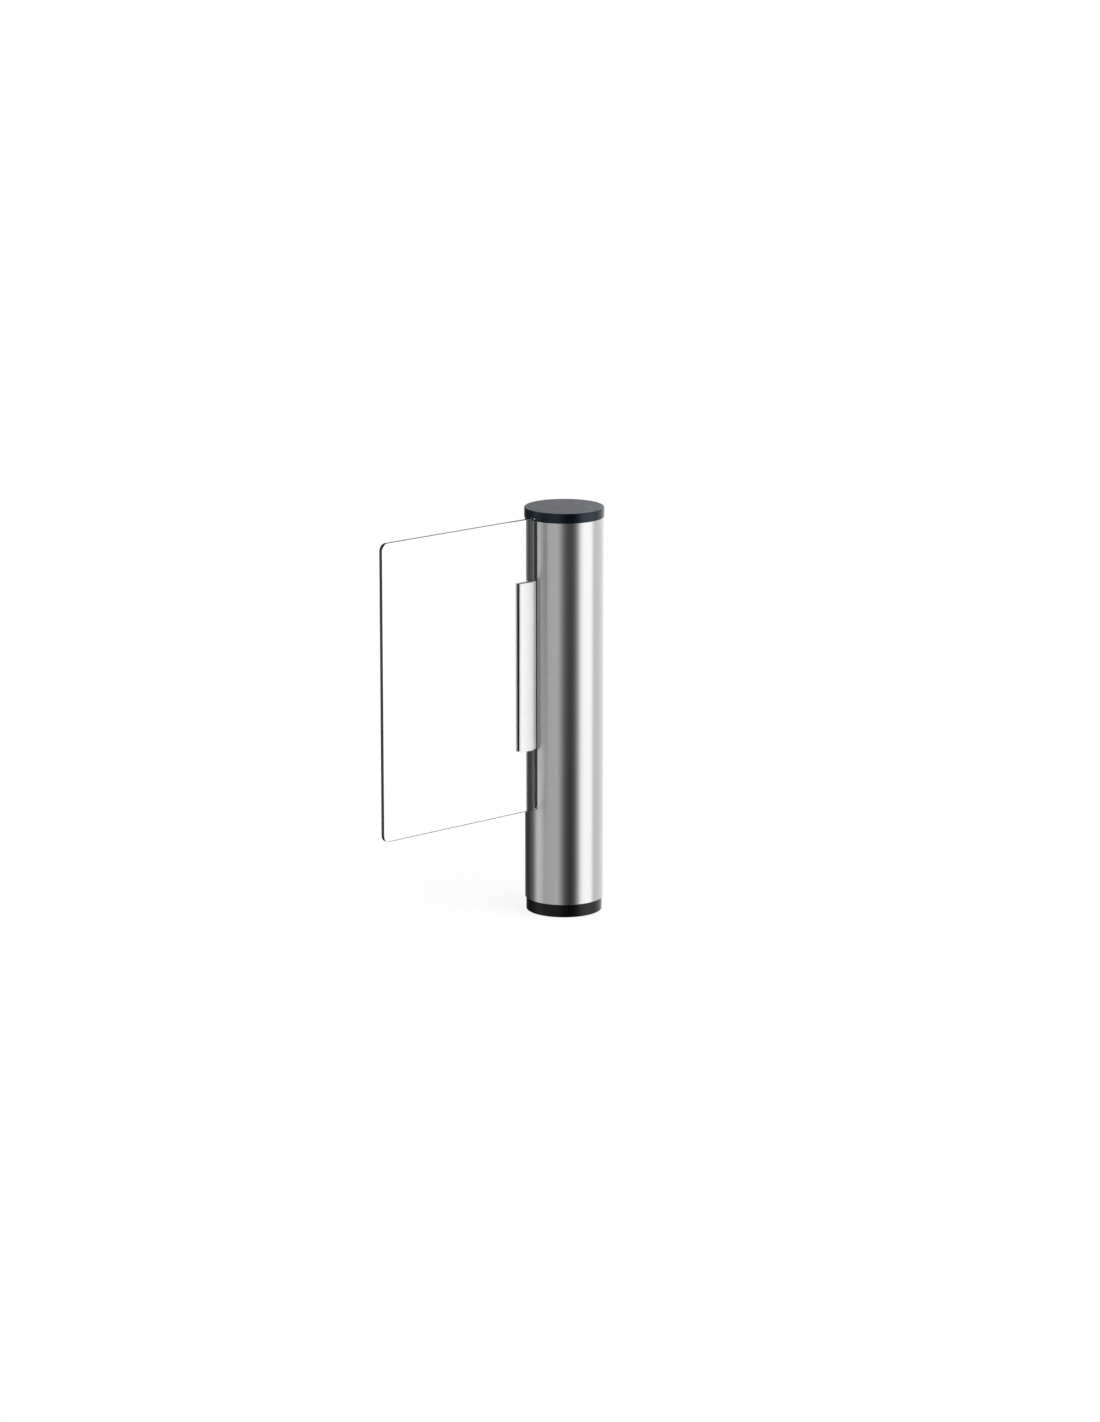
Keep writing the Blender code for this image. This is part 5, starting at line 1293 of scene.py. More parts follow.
def spacers(scene, storey, stud, bore):
    """A storey's pillars, with an M8 stud below, a tapped hole above and spanner flats near the foot."""
    edge = scene.gate_inside.edge
    radius = 0.008
    flat = 0.0065
    flat_foot = 0.006
    flat_top = 0.016
    beyond = 0.010
    for number, spot in enumerate(pillar_spots(), 1):
        node = f"{storey}_pillar_{number}"
        low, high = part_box(node)
        foot = low.z + stud
        hole_end = high.z - 0.015
        section = [
            (0.0, hole_end),
            (bore, hole_end),
            (bore, high.z, 0.0005),
            (radius, high.z, edge),
            (radius, foot, edge),
            *threaded(0.004, foot, low.z, 0.00125),
            (0.0, low.z),
        ]
        shape = turned(section, 48, spot)
        flats = []
        for side in BOTH_WAYS:
            near, far = sorted((spot.y + side * flat, spot.y + side * beyond))
            near = (spot.x - beyond, near, foot + flat_foot)
            flats.append(bar(near, (spot.x + beyond, far, foot + flat_top)))
        dress(f"{storey}_spacer_{number}", shape, node, zinc_plated_steel(scene), cuts=flats)


# Levels of an M5 socket screw's head, and the radius of the sink for it
SOCKET_HEAD = [(0.0, 0.0038), (0.0005, 0.0043), (0.005, 0.0043)]
HEAD_SINK = 0.0047


def drive_plate(scene):
    """The gear plate, with holes for pillars, shaft, pinion and cables, and the gearbox's bolts."""
    inside = scene.gate_inside
    low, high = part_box("gear_plate")
    drive = middle_of("gearbox")
    bolts = gearbox_bolts()
    shank = 0.0025
    cable_hole = 0.010
    cable_reach = 0.040
    holes = [(spot.x, spot.y, STUD_HOLE, 32) for spot in pillar_spots()]
    holes += [(0.0, 0.0, BUSH + FIT, 64), (drive.x, drive.y, SPIGOT + FIT, 64)]
    holes += [(0.0, side * cable_reach, cable_hole, 48) for side in BOTH_WAYS]
    holes += [(x, y, shank + 0.0002, 24) for x, y in bolts]
    shape = cut_plate(around(inside.sides, high.x), holes, low.z, high.z, inside.edge)
    sinks = [pin(HEAD_SINK, spot, high.z - 0.0056, high.z + 0.001, 36) for spot in bolts]
    dress("drive_plate", shape, "gear_plate", milled_aluminium_plate(scene), cuts=sinks)
    levels = [*SOCKET_HEAD, (0.005, shank), (0.0098, shank)]
    screws = screw_ring(bolts, high.z - 0.0004, HEAD_UP, levels, LARGE_KEY, 0.0026)
    dress("drive_plate_bolts", screws, "gear_plate", zinc_plated_steel(scene), slot="zinc_steel")


def bearing_plate(scene):
    """The top plate, with the upper bearing's housing, the buffers' posts and holes for its screws."""
    inside = scene.gate_inside
    edge = inside.edge
    low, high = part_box("top_plate")
    foot = low.z + 0.004
    top = foot + 0.010
    rim = top + 0.0093
    seat = 0.0313
    lip = seat - 0.0073
    housing = seat + 0.005
    section = [
        (housing, rim, edge),
        (housing, top, 0.002),
        (high.x, top, edge),
        (high.x, foot, edge),
        (housing, foot, 0.001),
        (housing, low.z, edge),
        (lip, low.z, edge),
        (lip, foot, 0.0003),
        (seat, foot),
        (seat, rim, edge),
    ]
    spots = [middle_of(f"stop_buffer_{name}") for name in ("left", "right")]
    posts = [pin(0.005, spot, top - 0.004, high.z, 48, 0.0008) for spot in spots]
    holes = [pin(SCREW_HOLE, spot, foot - OVERRUN, top + OVERRUN) for spot in pillar_spots()]
    shape = turned(section, inside.sides)
    dress("bearing_plate", shape, "top_plate", milled_aluminium_plate(scene), joins=posts, cuts=holes)


def plate_screws(scene):
    """The three M6 screws with washer heads that hold the top plate."""
    shank = 0.003
    for number in (1, 2, 3):
        node = f"top_plate_screw_{number}"
        low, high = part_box(node)
        spot = middle_of(node)
        reach = high.z - low.z
        levels = [(0.0, 0.0048), (0.0004, 0.0055), (0.0010, 0.006), (0.0036, 0.006), (0.0036, shank)]
        levels += [(0.006, shank), (reach - 0.0006, shank), (reach, 0.0024)]
        shape = placed(socket_screw(levels, LARGE_KEY, 0.0022), place=(spot.x, spot.y, high.z))
        dress(f"plate_screw_{number}", shape, node, zinc_plated_steel(scene))


def rubber_stops(scene):
    """The two rubber buffers on their posts, each with two grooves that let it give."""
    bore = 0.0053
    for name in ("left", "right"):
        node = f"stop_buffer_{name}"
        low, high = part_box(node)
        radius = (high.x - low.x) / 2.0
        section = [(bore, high.z, 0.0008), (radius, high.z, 0.0015)]
        for share in (0.64, 0.36):
            level = low.z + (high.z - low.z) * share
            section += [(radius, level + 0.0014, 0.0005), (radius - 0.0012, level, 0.0006)]
            section.append((radius, level - 0.0014, 0.0005))
        section += [(radius, low.z, 0.0015), (bore, low.z, 0.0008)]
        shape = turned(section, 64, middle_of(node))
        dress(f"rubber_stop_{name}", shape, node, epdm_rubber(scene))


def planetary_gearbox(scene):
    """The gearbox, with two bands of grooves round it and tapped holes in its face."""
    inside = scene.gate_inside
    edge = inside.edge
    low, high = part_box("gearbox")
    radius = (high.x - low.x) / 2.0
    groove_floor = radius - 0.0012
    top = high.z - 0.006
    bore = 0.0063
    bore_end = high.z - 0.0483
    grooves = []
    for first, last in ((0.16, 0.40), (0.60, 0.84)):
        for index in range(4):
            level = top - (top - low.z) * (first + (last - first) * index / 3)
            grooves += [(radius, level + 0.0011, 0.0003), (groove_floor, level + 0.0007)]
            grooves += [(groove_floor, level - 0.0007), (radius, level - 0.0011, 0.0003)]
    section = [
        (0.0, bore_end),
        (bore, bore_end),
        (bore, high.z, edge),
        (SPIGOT, high.z, edge),
        (SPIGOT, top),
        (radius, top, edge),
        *grooves,
        (radius, low.z, edge),
        (0.0, low.z),
    ]
    shape = turned(section, inside.sides, middle_of("gearbox"))
    holes = [pin(0.0022, spot, top - 0.012, top + 0.001, 24) for spot in gearbox_bolts()]
    dress("planetary_gearbox", shape, "gearbox", turned_gearbox_steel(scene), cuts=holes)


def geared_motor(scene):
    """The motor, with a turned bell at each end, fins between them and a round plug-in connector."""
    inside = scene.gate_inside
    low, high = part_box("drive_motor")
    axis = middle_of("gearbox")
    radius = (high.x - low.x) / 2.0
    fins_foot = low.z + 0.0085
    fins_top = high.z - 0.0085
    shapes = []
    for foot, top in ((low.z, fins_foot), (fins_top, high.z)):
        section = [(0.0, top), (radius, top, inside.edge), (radius, foot, inside.edge), (0.0, foot)]
        shapes.append((turned(section, inside.sides, axis), 1))
    count = 36
    tip = radius - FIT
    gully = radius - 0.0023
    half_fin = [(tip, 0.0), (tip, 0.026), (gully, 0.034), (gully, pi / count)]
    fins = toothed(half_fin, count, 0.0, [], fins_foot, fins_top, 0.0002)
    shapes.append(placed(fins, place=(axis.x, axis.y, 0.0)))
    pins = 0.004
    thread = 0.005
    thread_end = 0.008
    collar = 0.0062
    collar_end = 0.003
    section = [
        (0.0, 0.0),
        (pins, 0.0),
        (pins, thread_end, 0.0003),
        *threaded(thread, thread_end, collar_end, 0.001),
        (collar, collar_end, 0.0004),
        (collar, -collar_end),
        (0.0, -collar_end),
    ]
    plug = placed(turned(section, 48), UPRIGHT_SHEET, (axis.x, axis.y - radius, low.z + 0.014))
    shapes.append((plug, 1))
    finishes = (black_oxide_steel(scene), turned_motor_bell(scene))
    dress("geared_motor", gather(*shapes), "drive_motor", *finishes)


def holding_brake(scene):
    """The brake, with a seam round it and three screws in its face."""
    inside = scene.gate_inside
    low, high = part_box("motor_brake")
    axis = middle_of("gearbox")
    radius = (high.x - low.x) / 2.0
    seam = low.z + 0.011
    seam_floor = radius - 0.001
    recess = 0.011
    recess_top = low.z + 0.003
    boss = 0.005
    boss_foot = low.z + 0.0005
    section = [
        (0.0, high.z),
        (radius, high.z, inside.edge),
        (radius, seam + 0.001, 0.0003),
        (seam_floor, seam + 0.0005),
        (seam_floor, seam - 0.0005),
        (radius, seam - 0.001, 0.0003),
        (radius, low.z, 0.002),
        (recess, low.z, inside.edge),
        (recess, recess_top),
        (boss, recess_top),
        (boss, boss_foot, inside.edge),
        (0.0, boss_foot),
    ]
    head = 0.003
    spots = around(3, 0.0165, pi / 6, axis)
    seats = [pin(head + 0.0004, spot, low.z - 0.001, low.z + 0.0034, 24) for spot in spots]
    shape = turned(section, inside.sides, axis)
    dress("holding_brake", shape, "motor_brake", zinc_plated_steel(scene), cuts=seats)
    levels = [(0.0, head - 0.0004), (0.0004, head), (0.003, head)]
    screws = screw_ring(spots, low.z + 0.0005, HEAD_DOWN, levels, SMALL_KEY, 0.0016, 24)
    dress("holding_brake_screws", screws, "motor_brake", black_oxide_steel(scene), slot="black_oxide")


def drive_pinion(scene):
    """The pinion on its shaft, which has a collar under the teeth and a centre hole."""
    inside = scene.gate_inside
    edge = inside.edge
    low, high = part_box("output_pinion")
    gear_low, gear_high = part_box("main_gear")
    axis = middle_of("gearbox")
    shaft = 0.006
    collar = 0.009
    end = high.z - 0.0006
    collar_top = gear_low.z - 0.001
    collar_foot = gear_low.z - 0.0035
    section = [
        (0.0, high.z - 0.0025),
        (0.0012, high.z - 0.0025),
        (0.0022, end),
        (shaft, end, edge),
        (shaft, collar_top),
        (collar, collar_top),
        (collar, collar_foot, edge),
        (shaft, collar_foot, 0.0004),
        (shaft, low.z, edge),
        (0.0, low.z),
    ]
    # The pinion is a little wider than the gear.
    teeth = inside.pinion_teeth
    hole = [(0.0, 0.0, shaft, 64)]
    rim = gear(teeth, pi / teeth, hole, gear_low.z - 0.001, gear_high.z + 0.001, inside)
    placed(rim, place=(axis.x, axis.y, 0.0))
    shape = gather(turned(section, 64, axis), (rim, 1))
    dress("drive_pinion", shape, "output_pinion", turned_pinion_shaft(scene), oiled_gear_steel(scene))


def shaft_sensor(scene):
    """The forked angle sensor under the shaft's end, with its chip and its plug."""
    low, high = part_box("angle_sensor")
    leg = 0.013
    floor = low.z + 0.008
    outline = [
        (-high.y, high.z, 0.0006),
        (-high.y, low.z, 0.0012),
        (high.y, low.z, 0.0012),
        (high.y, high.z, 0.0006),
        (leg, high.z, 0.0006),
        (leg, floor, 0.0015),
        (-leg, floor, 0.0015),
        (-leg, high.z, 0.0006),
    ]
    shape = placed(cut_plate(outline, [], low.x, high.x, 0.0006), CROSSWISE_SHEET)
    chip = bar((-0.003, -0.003, floor - FIT), (0.003, 0.003, floor + 0.0015), 0.0002)
    plug = bar((-0.006, -0.010, floor - FIT), (0.006, -0.0055, floor + 0.003), 0.0003)
    finishes = (moulded_polycarbonate_grey(scene), moulded_black_epoxy())
    dress("shaft_sensor", gather(shape, (chip, 1), plug), "angle_sensor", *finishes)


# Radius of the main shaft where the upper bearing, the gear and the nut sit on it
JOURNAL = 0.015


def spindle(scene):
    """The main shaft: a thread for the nut, a screwed flange, the journal and the gear's shoulder."""
    inside = scene.gate_inside
    edge = inside.edge
    low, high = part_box("main_shaft")
    gear_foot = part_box("main_gear")[0].z - FIT
    nut_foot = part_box("hub_locknut")[0].z
    flange = nut_foot - 0.0136
    flange_foot = flange - 0.010
    seat = JOURNAL - FIT
    shoulder = 0.018
    shoulder_foot = gear_foot - 0.0035
    pilot = 0.010
    bolt_circle = 0.0235
    section = [
        (0.0, high.z - 0.003),
        (0.0015, high.z - 0.003),
        (0.003, high.z),
        *threaded(seat, high.z, nut_foot - 0.002, 0.0015),
        (seat, nut_foot - 0.002),
        (seat, flange),
        (high.x, flange, edge),
        (high.x, flange_foot, edge),
        (JOURNAL, flange_foot, 0.003),
        (JOURNAL, gear_foot),
        (shoulder, gear_foot, edge),
        (shoulder, shoulder_foot, edge),
        (pilot, shoulder_foot, 0.0006),
        (pilot, low.z, 0.0012),
        (0.0, low.z),
    ]
    bolts = around(6, bolt_circle, pi / 6)
    sinks = [pin(HEAD_SINK, spot, flange_foot - 0.001, flange_foot + 0.0054, 24) for spot in bolts]
    dress("spindle", turned(section, inside.sides), "main_shaft", turned_shaft_steel(scene), cuts=sinks)
    screws = screw_ring(bolts, flange_foot + 0.0004, HEAD_DOWN, SOCKET_HEAD, LARGE_KEY, 0.0026, 24)
    dress("spindle_screws", screws, "main_shaft", black_oxide_steel(scene), slot="black_oxide")


def spindle_gear(scene):
    """The main gear, with lightening holes through its web and a shallow recess in each face of it."""
    inside = scene.gate_inside
    low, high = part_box("main_gear")
    pitch = inside.tooth_module * inside.gear_teeth / 2.0
    web = (pitch + JOURNAL) / 2.0
    half_web = 0.0058
    window = 0.0045
    holes = [(0.0, 0.0, JOURNAL + FIT, 96)] + [(x, y, window, 32) for x, y in around(6, web)]
    shape = gear(inside.gear_teeth, 0.0, holes, low.z, high.z, inside)
    recesses = []
    for face, way in ((low.z, 1.0), (high.z, -1.0)):
        floor = face + way * 0.003
        mouth = face - way * 0.001
        section = [(web - half_web, floor, 0.001), (web + half_web, floor, 0.001)]
        section += [(web + half_web, mouth), (web - half_web, mouth)]
        recesses.append(turned(section, inside.sides))
    dress("spindle_gear", shape, "main_gear", oiled_gear_steel(scene), cuts=recesses)


def spindle_nut(scene):
    """The hexagon nut over the hub, with chamfered corners."""
    low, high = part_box("hub_locknut")
    shape = cut_plate(around(6, high.x), [(0.0, 0.0, JOURNAL, 96)], low.z, high.z, 0.0004)
    corner = high.x + 0.002
    flat = high.x * cos(pi / 6)
    # A chamfer of 30 degrees
    drop = (corner - flat) * 0.577
    chamfers = []
    for face, way in ((low.z, -1.0), (high.z, 1.0)):
        end = face + way * 0.002
        section = [(flat, face), (flat, end), (corner, end), (corner, face - way * drop)]
        chamfers.append(turned(section, scene.gate_inside.sides))
    dress("spindle_nut", shape, "hub_locknut", black_oxide_steel(scene), cuts=chamfers)


def flanged_bush(scene):
    """The bush in the gear plate, where the shaft's lower end turns."""
    inside = scene.gate_inside
    low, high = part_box("pilot_bush")
    bore = 0.0103
    flange_foot = high.z - 0.002
    section = [
        (bore, high.z, inside.edge),
        (high.x, high.z, inside.edge),
        (high.x, flange_foot, 0.0003),
        (BUSH, flange_foot),
        (BUSH, low.z, inside.edge),
        (bore, low.z, inside.edge),
    ]
    dress("flanged_bush", turned(section, inside.sides), "pilot_bush", sintered_bronze(scene))


def foot_hub(scene):
    """The lower hub, which sits on the lower bearing by its lip and has a seat for a spine screw."""
    inside = scene.gate_inside
    edge = inside.edge
    low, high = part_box("lower_hub")
    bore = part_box("lower_bearing_outer_ring")[1].x + FIT
    lip = bore - 0.0033
    lip_foot = high.z - 0.0051
    section = [
        (high.x, high.z, edge),
        (high.x, low.z, edge),
        (bore, low.z, edge),
        (bore, lip_foot),
        (lip, lip_foot, edge),
        (lip, high.z, edge),
    ]
    place = (middle_of("spine").x, 0.0, low.z)
    seat = countersunk_seat(scene.gate_clamp.bolt_radius, 0.030, HEAD_DOWN, place)
    dress("foot_hub", turned(section, inside.sides), "lower_hub", turned_hub_steel(scene), cuts=[seat])


def head_hub(scene):
    """The top hub: rim, web and boss, with the stop lug below and a pocket for the spine."""
    inside = scene.gate_inside
    edge = inside.edge
    low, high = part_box("top_hub")
    rim = high.x - 0.012
    rim_foot = high.z - 0.020
    web_top = high.z - 0.005
    web_foot = web_top - 0.008
    boss = 0.034
    section = [
        (high.x, high.z, edge),
        (high.x, rim_foot, edge),
        (rim, rim_foot, edge),
        (rim, web_foot, 0.0015),
        (JOURNAL, web_foot, edge),
        (JOURNAL, high.z, edge),
        (boss, high.z, edge),
        (boss, web_top, 0.002),
        (rim, web_top, 0.002),
        (rim, high.z, edge),
    ]
    half_lug = 0.008
    lug = bar((-0.072, -half_lug, low.z), (-0.048, half_lug, (web_foot + web_top) / 2.0), 0.0012)
    half_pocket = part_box("spine")[1].y + FIT
    pocket = bar((-0.0997, -half_pocket, web_foot - 0.020), (-0.0797, half_pocket, web_foot))
    place = (middle_of("spine").x, 0.0, high.z)
    seat = countersunk_seat(scene.gate_clamp.bolt_radius, 0.016, HEAD_UP, place)
    shape = turned(section, inside.sides)
    dress("head_hub", shape, "top_hub", turned_hub_steel(scene), joins=[lug], cuts=[pocket, seat])


def neck_bolts(scene):
    """The three countersunk screws that pull the clamp's neck against the spine."""
    shank = scene.gate_clamp.bolt_radius
    for number in (1, 2, 3):
        node = f"neck_screw_{number}"
        low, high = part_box(node)
        spot = middle_of(node)
        reach = high.x - low.x
        levels = [*countersunk(shank), (reach - 0.0005, shank), (reach, shank - 0.0005)]
        shape = socket_screw(levels, LARGE_KEY, 0.0024)
        placed(shape, HEAD_ALONG_X, (high.x, spot.y, spot.z))
        dress(f"neck_bolt_{number}", shape, node, zinc_plated_steel(scene))


def spine_bar(scene):
    """The bar inside the sleeve, with seats for the neck screws and a tapped hole in each end."""
    shank = scene.gate_clamp.bolt_radius
    low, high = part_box("spine")
    middle = middle_of("spine")
    cuts = []
    for number in (1, 2, 3):
        spot = middle_of(f"neck_screw_{number}")
        place = (high.x, spot.y, spot.z)
        cuts.append(countersunk_seat(shank, high.x - low.x + OVERRUN, HEAD_ALONG_X, place))
    for end, way in ((low.z, 1.0), (high.z, -1.0)):
        cuts.append(pin(shank + FIT, (middle.x, 0.0), end - way * OVERRUN, end + way * 0.015))
    shape = bar(low, high, scene.gate_inside.edge)
    dress("spine_bar", shape, "spine", zinc_plated_steel(scene), cuts=cuts)


def spine_bolts(scene):
    """The countersunk M6 screws that hold the spine to the two hubs."""
    shank = scene.gate_clamp.bolt_radius
    middle = middle_of("spine")
    for end, turn in (("lower", HEAD_DOWN), ("upper", HEAD_UP)):
        node = f"spine_screw_{end}"
        low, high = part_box(node)
        face = low.z if end == "lower" else high.z
        thread = [(-level, radius) for radius, level in threaded(shank, -0.015, low.z - high.z, 0.001)]
        levels = [*countersunk(shank), (0.0145, shank), *thread]
        shape = placed(socket_screw(levels, LARGE_KEY, 0.0024), turn, (middle.x, 0.0, face))
        dress(f"spine_bolt_{end}", shape, node, zinc_plated_steel(scene))


def board_corners():
    """Where stays hold the board, as places across and up."""
    middle = middle_of("control_board")
    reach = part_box("control_board")[1] - middle
    inset = 0.006
    return [(y * (reach.y - inset), middle.z + z * (reach.z - inset)) for y, z in SQUARE]


def board_carrier(scene):
    """The board's bent sheet bracket, with vents, hexagon stays and two screw holes in its foot."""
    low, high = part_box("board_bracket")
    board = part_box("control_board")[0]
    middle = middle_of("control_board").z
    sheet = 0.002
    outline = [
        (low.x, low.z, 0.003),
        (high.x, low.z),
        (high.x, low.z + sheet),
        (low.x + sheet, low.z + sheet, 0.001),
        (low.x + sheet, high.z),
        (low.x, high.z),
    ]
    shape = placed(cut_plate(outline, [], low.y, high.y, 0.0003), UPRIGHT_SHEET)
    stay = low.x + sheet / 2.0
    stays = [rod(0.003, (stay, y, z), (board.x - FIT, y, z), 6, 0.0002) for y, z in board_corners()]
    cuts = []
    for side in BOTH_WAYS:
        cuts.append(pin(0.0022, (high.x - 0.008, side * 0.034), low.z - 0.001, low.z + 0.003, 24))
    half_vent = 0.004
    vent_reach = 0.045
    for y in (-0.024, 0.0, 0.024):
        near = (low.x - 0.001, y - half_vent, middle - vent_reach)
        cuts.append(bar(near, (low.x + 0.003, y + half_vent, middle + vent_reach)))
    dress("board_carrier", shape, "board_bracket", zinc_plated_steel(scene), joins=stays, cuts=cuts)


def capacitor(x, y, z):
    """An electrolytic capacitor's can, which stands out along +X."""
    section = [
        (0.0, 0.0168),
        (0.0062, 0.0168),
        (0.0066, 0.0172),
        (0.008, 0.0172, 0.0008),
        (0.008, 0.0022, 0.0004),
        (0.0074, 0.0018),
        (0.008, 0.0012, 0.0004),
        (0.008, 0.0),
        (0.0, 0.0),
    ]
    return placed(turned(section, 48), HEAD_ALONG_X, (x, y, z))


def populated_board(scene):
    """The control board with its relays, capacitors, chips, terminals, heat sink and corner screws."""
    low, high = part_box("control_board")
    middle = middle_of("control_board").z
    finishes = (
        solder_mask_green(scene),
        moulded_black_epoxy(),
        moulded_pbt_blue(),
        bright_tinned_metal(),
        moulded_polyamide_green(),
    )
    board, black, blue, tinned, green = range(len(finishes))
    top = low.x + 0.0016
    header = low.z + 0.009
    first_way = -0.0325
    way_pitch = 0.005
    sink = middle + 0.0633
    half_sink = 0.015
    half_fin = 0.0028
    # Rows along the board: count, first place, pitch, height, then each one's width, height, rise, finish
    # and edge. They are relays, the processor, the motor driver, the sensor's chip, a coil, the terminals,
    # a row of resistors, three rows of small capacitors and the heat sink's foot.
    rows = (
        (3, -0.02867, 0.02867, middle - 0.0475, 0.016, 0.028, 0.0142, blue, 0.0008),
        (1, 0.0, 0.0, middle + 0.006, 0.012, 0.012, 0.0015, black, 0.0003),
        (1, 0.0, 0.0, middle + 0.026, 0.018, 0.010, 0.0022, black, 0.0003),
        (1, -0.030, 0.0, middle + 0.040, 0.010, 0.006, 0.0016, black, 0.0003),
        (1, 0.031, 0.0, middle + 0.034, 0.009, 0.012, 0.0100, tinned, 0.0006),
        (1, 0.0, 0.0, header, 0.070, 0.009, 0.0092, green, 0.0005),
        (14, first_way, way_pitch, header + 0.0095, 0.0016, 0.0032, 0.0006, black, 0.0),
        (9, -0.036, 0.009, middle - 0.026, 0.0032, 0.0016, 0.0006, tinned, 0.0),
        (9, -0.008, 0.002, middle + 0.015, 0.0009, 0.0022, 0.0004, tinned, 0.0),
        (6, -0.040, 0.003, middle + 0.052, 0.0016, 0.0032, 0.0006, tinned, 0.0),
        (1, 0.0, 0.0, sink, 0.050, 2.0 * half_sink, 0.004, tinned, 0.0002),
    )
    parts = [(bar(low, (top, high.y, high.z), 0.0002), board)]
    for count, first, pitch, level, wide, tall, rise, finish_index, edge in rows:
        for index in range(count):
            y = first + pitch * index
            near = (top - 0.0001, y - wide / 2, level - tall / 2)
            parts.append((bar(near, (top + rise, y + wide / 2, level + tall / 2), edge), finish_index))
    for side in BOTH_WAYS:
        parts.append((capacitor(top, side * 0.0215, middle), black))
    for index in range(14):
        y = first_way + way_pitch * index
        parts.append((rod(0.0014, (top + 0.008, y, header), (top + 0.0094, y, header), 12), tinned))
    for index in range(5):
        y = -0.0222 + 0.0111 * index
        near = (top + 0.003, y - half_fin, sink - half_sink)
        parts.append((bar(near, (high.x, y + half_fin, sink + half_sink), 0.0003), tinned))
    for y, z in board_corners():
        parts.append((rod(0.0028, (top - 0.0002, y, z), (top + 0.0018, y, z), 24, 0.0004), tinned))
    dress("populated_board", gather(*parts), "control_board", *finishes)


def supply_terminals(scene):
    """The six-way terminal block: a stepped housing with wire entries, and slotted screws in two rows."""
    low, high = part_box("terminal_block")
    middle = middle_of("terminal_block")
    ways = 6
    way = (high.x - low.x) / ways
    depth = (high.y - low.y) / 2.0
    half = depth / 2.0
    step = high.z - 0.010
    outline = [
        (-depth, low.z, 0.0005),
        (depth, low.z, 0.0005),
        (depth, step, 0.001),
        (half, step, 0.0005),
        (half, high.z, 0.001),
        (-half, high.z, 0.001),
        (-half, step, 0.0005),
        (-depth, step, 0.001),
    ]
    shape = cut_plate(outline, [], low.x, high.x, 0.0004)
    placed(shape, CROSSWISE_SHEET, (0.0, middle.y, 0.0))
    cuts = []
    heads = []
    slots = []
    for index in range(ways):
        x = low.x + way * (index + 0.5)
        if index:
            gap = x - way / 2.0
            near = (gap - 0.0008, low.y - 0.01, step + 0.005)
            cuts.append(bar(near, (gap + 0.0008, high.y + 0.01, high.z + 0.005)))
        for side in BOTH_WAYS:
            y = middle.y + side * 0.75 * depth
            near, far = sorted((y, y + side * 0.01))
            cuts.append(pin(0.0024, (x, y), step - 0.004, step + 0.001, 24))
            cuts.append(bar((x - 0.002, near, low.z + 0.006), (x + 0.002, far, low.z + 0.011)))
            heads.append(pin(0.0021, (x, y), step - 0.0042, step - 0.0014, 24, 0.0002))
            slots.append(bar((x - 0.0025, y - 0.0003, step - 0.0020), (x + 0.0025, y + 0.0003, step)))
    dress("supply_terminals", shape, "terminal_block", moulded_polycarbonate_grey(scene), cuts=cuts)
    tinned = bright_tinned_metal()
    grooves = [gather(*slots)]
    dress("supply_terminal_screws", gather(*heads), "terminal_block", tinned, slot="zinc_steel", cuts=grooves)


def power_supply(scene):
    """The supply's case, with vents in two sides and four screw holes, and the outlet in its top."""
    low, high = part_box("power_supply")
    inset = Vector((0.006, 0.013, 0.0))
    cuts = []
    for index in range(9):
        level = low.z + 0.030 + 0.010 * index
        for x in (low.x, high.x):
            cuts.append(bar((x - 0.003, low.y + 0.008, level), (x + 0.003, high.y - 0.008, level + 0.003)))
    for x in (low.x + 0.006, high.x - 0.006):
        for y in (low.y + 0.006, high.y - 0.006):
            cuts.append(pin(0.0017, (x, y), high.z - 0.003, high.z + 0.001, 24))
    near = (low.x + inset.x, low.y + inset.y, high.z - 0.004)
    cuts.append(bar(near, (high.x - inset.x, high.y - inset.y, high.z + 0.001)))
    case = bar(low, high, 0.002)
    dress("supply_case", case, "power_supply", anodised_aluminium_case(scene), cuts=[gather(*cuts)])
    inset += Vector((0.0005, 0.0005, 0.0))
    near = (low.x + inset.x, low.y + inset.y, high.z - 0.0038)
    outlet = bar(near, (high.x - inset.x, high.y - inset.y, high.z - 0.0005), 0.0003)
    dress("supply_outlet", outlet, "power_supply", moulded_black_epoxy(), slot="grey_plastic")


def set_camera(scene):
    """A long lens far away, as the photograph has."""
    stage = scene.gate_stage
    data = bpy.data.cameras.new("camera")
    data.lens = stage.lens
    data.sensor_width = 36.0
    data.clip_end = 100.0
    camera = bpy.data.objects.new("camera", data)
    level = cos(stage.elevation)
    back = Vector((sin(stage.azimuth) * level, -cos(stage.azimuth) * level, sin(stage.elevation)))
    camera.location = Vector(stage.target) + back * stage.distance
    camera.rotation_euler = (pi / 2 - stage.elevation, 0.0, stage.azimuth)
    scene.collection.objects.link(camera)
    scene.camera = camera


def stage_piece(name, shape, material):
    """A piece of the stage, which is no part of the gate."""
    mesh = bpy.data.meshes.new(name)
    shape.to_mesh(mesh)
    shape.free()
    mesh.materials.append(material)
    piece = bpy.data.objects.new(name, mesh)
    bpy.context.scene.collection.objects.link(piece)
    return piece


def white_floor(tree, colour):
    """A white floor that shows white, with a faint shadow."""
    path = add_node(tree, "LightPath")
    rays = {0: path["Is Camera Ray"], 1: path["Is Transmission Ray"]}
    seen = add_node(tree, "Math", rays, operation="MAXIMUM")
    share = add_node(tree, "Math", {0: seen["Value"], 1: 0.8}, operation="MULTIPLY")
    matt = add_node(tree, "BsdfDiffuse", {"Color": (*colour, 1.0)})
    glow = add_node(tree, "Emission", {"Color": (*colour, 1.0), "Strength": 1.02})
    mix = add_node(tree, "MixShader", {0: share["Value"], 1: matt["BSDF"], 2: glow["Emission"]})
    return mix["Shader"]


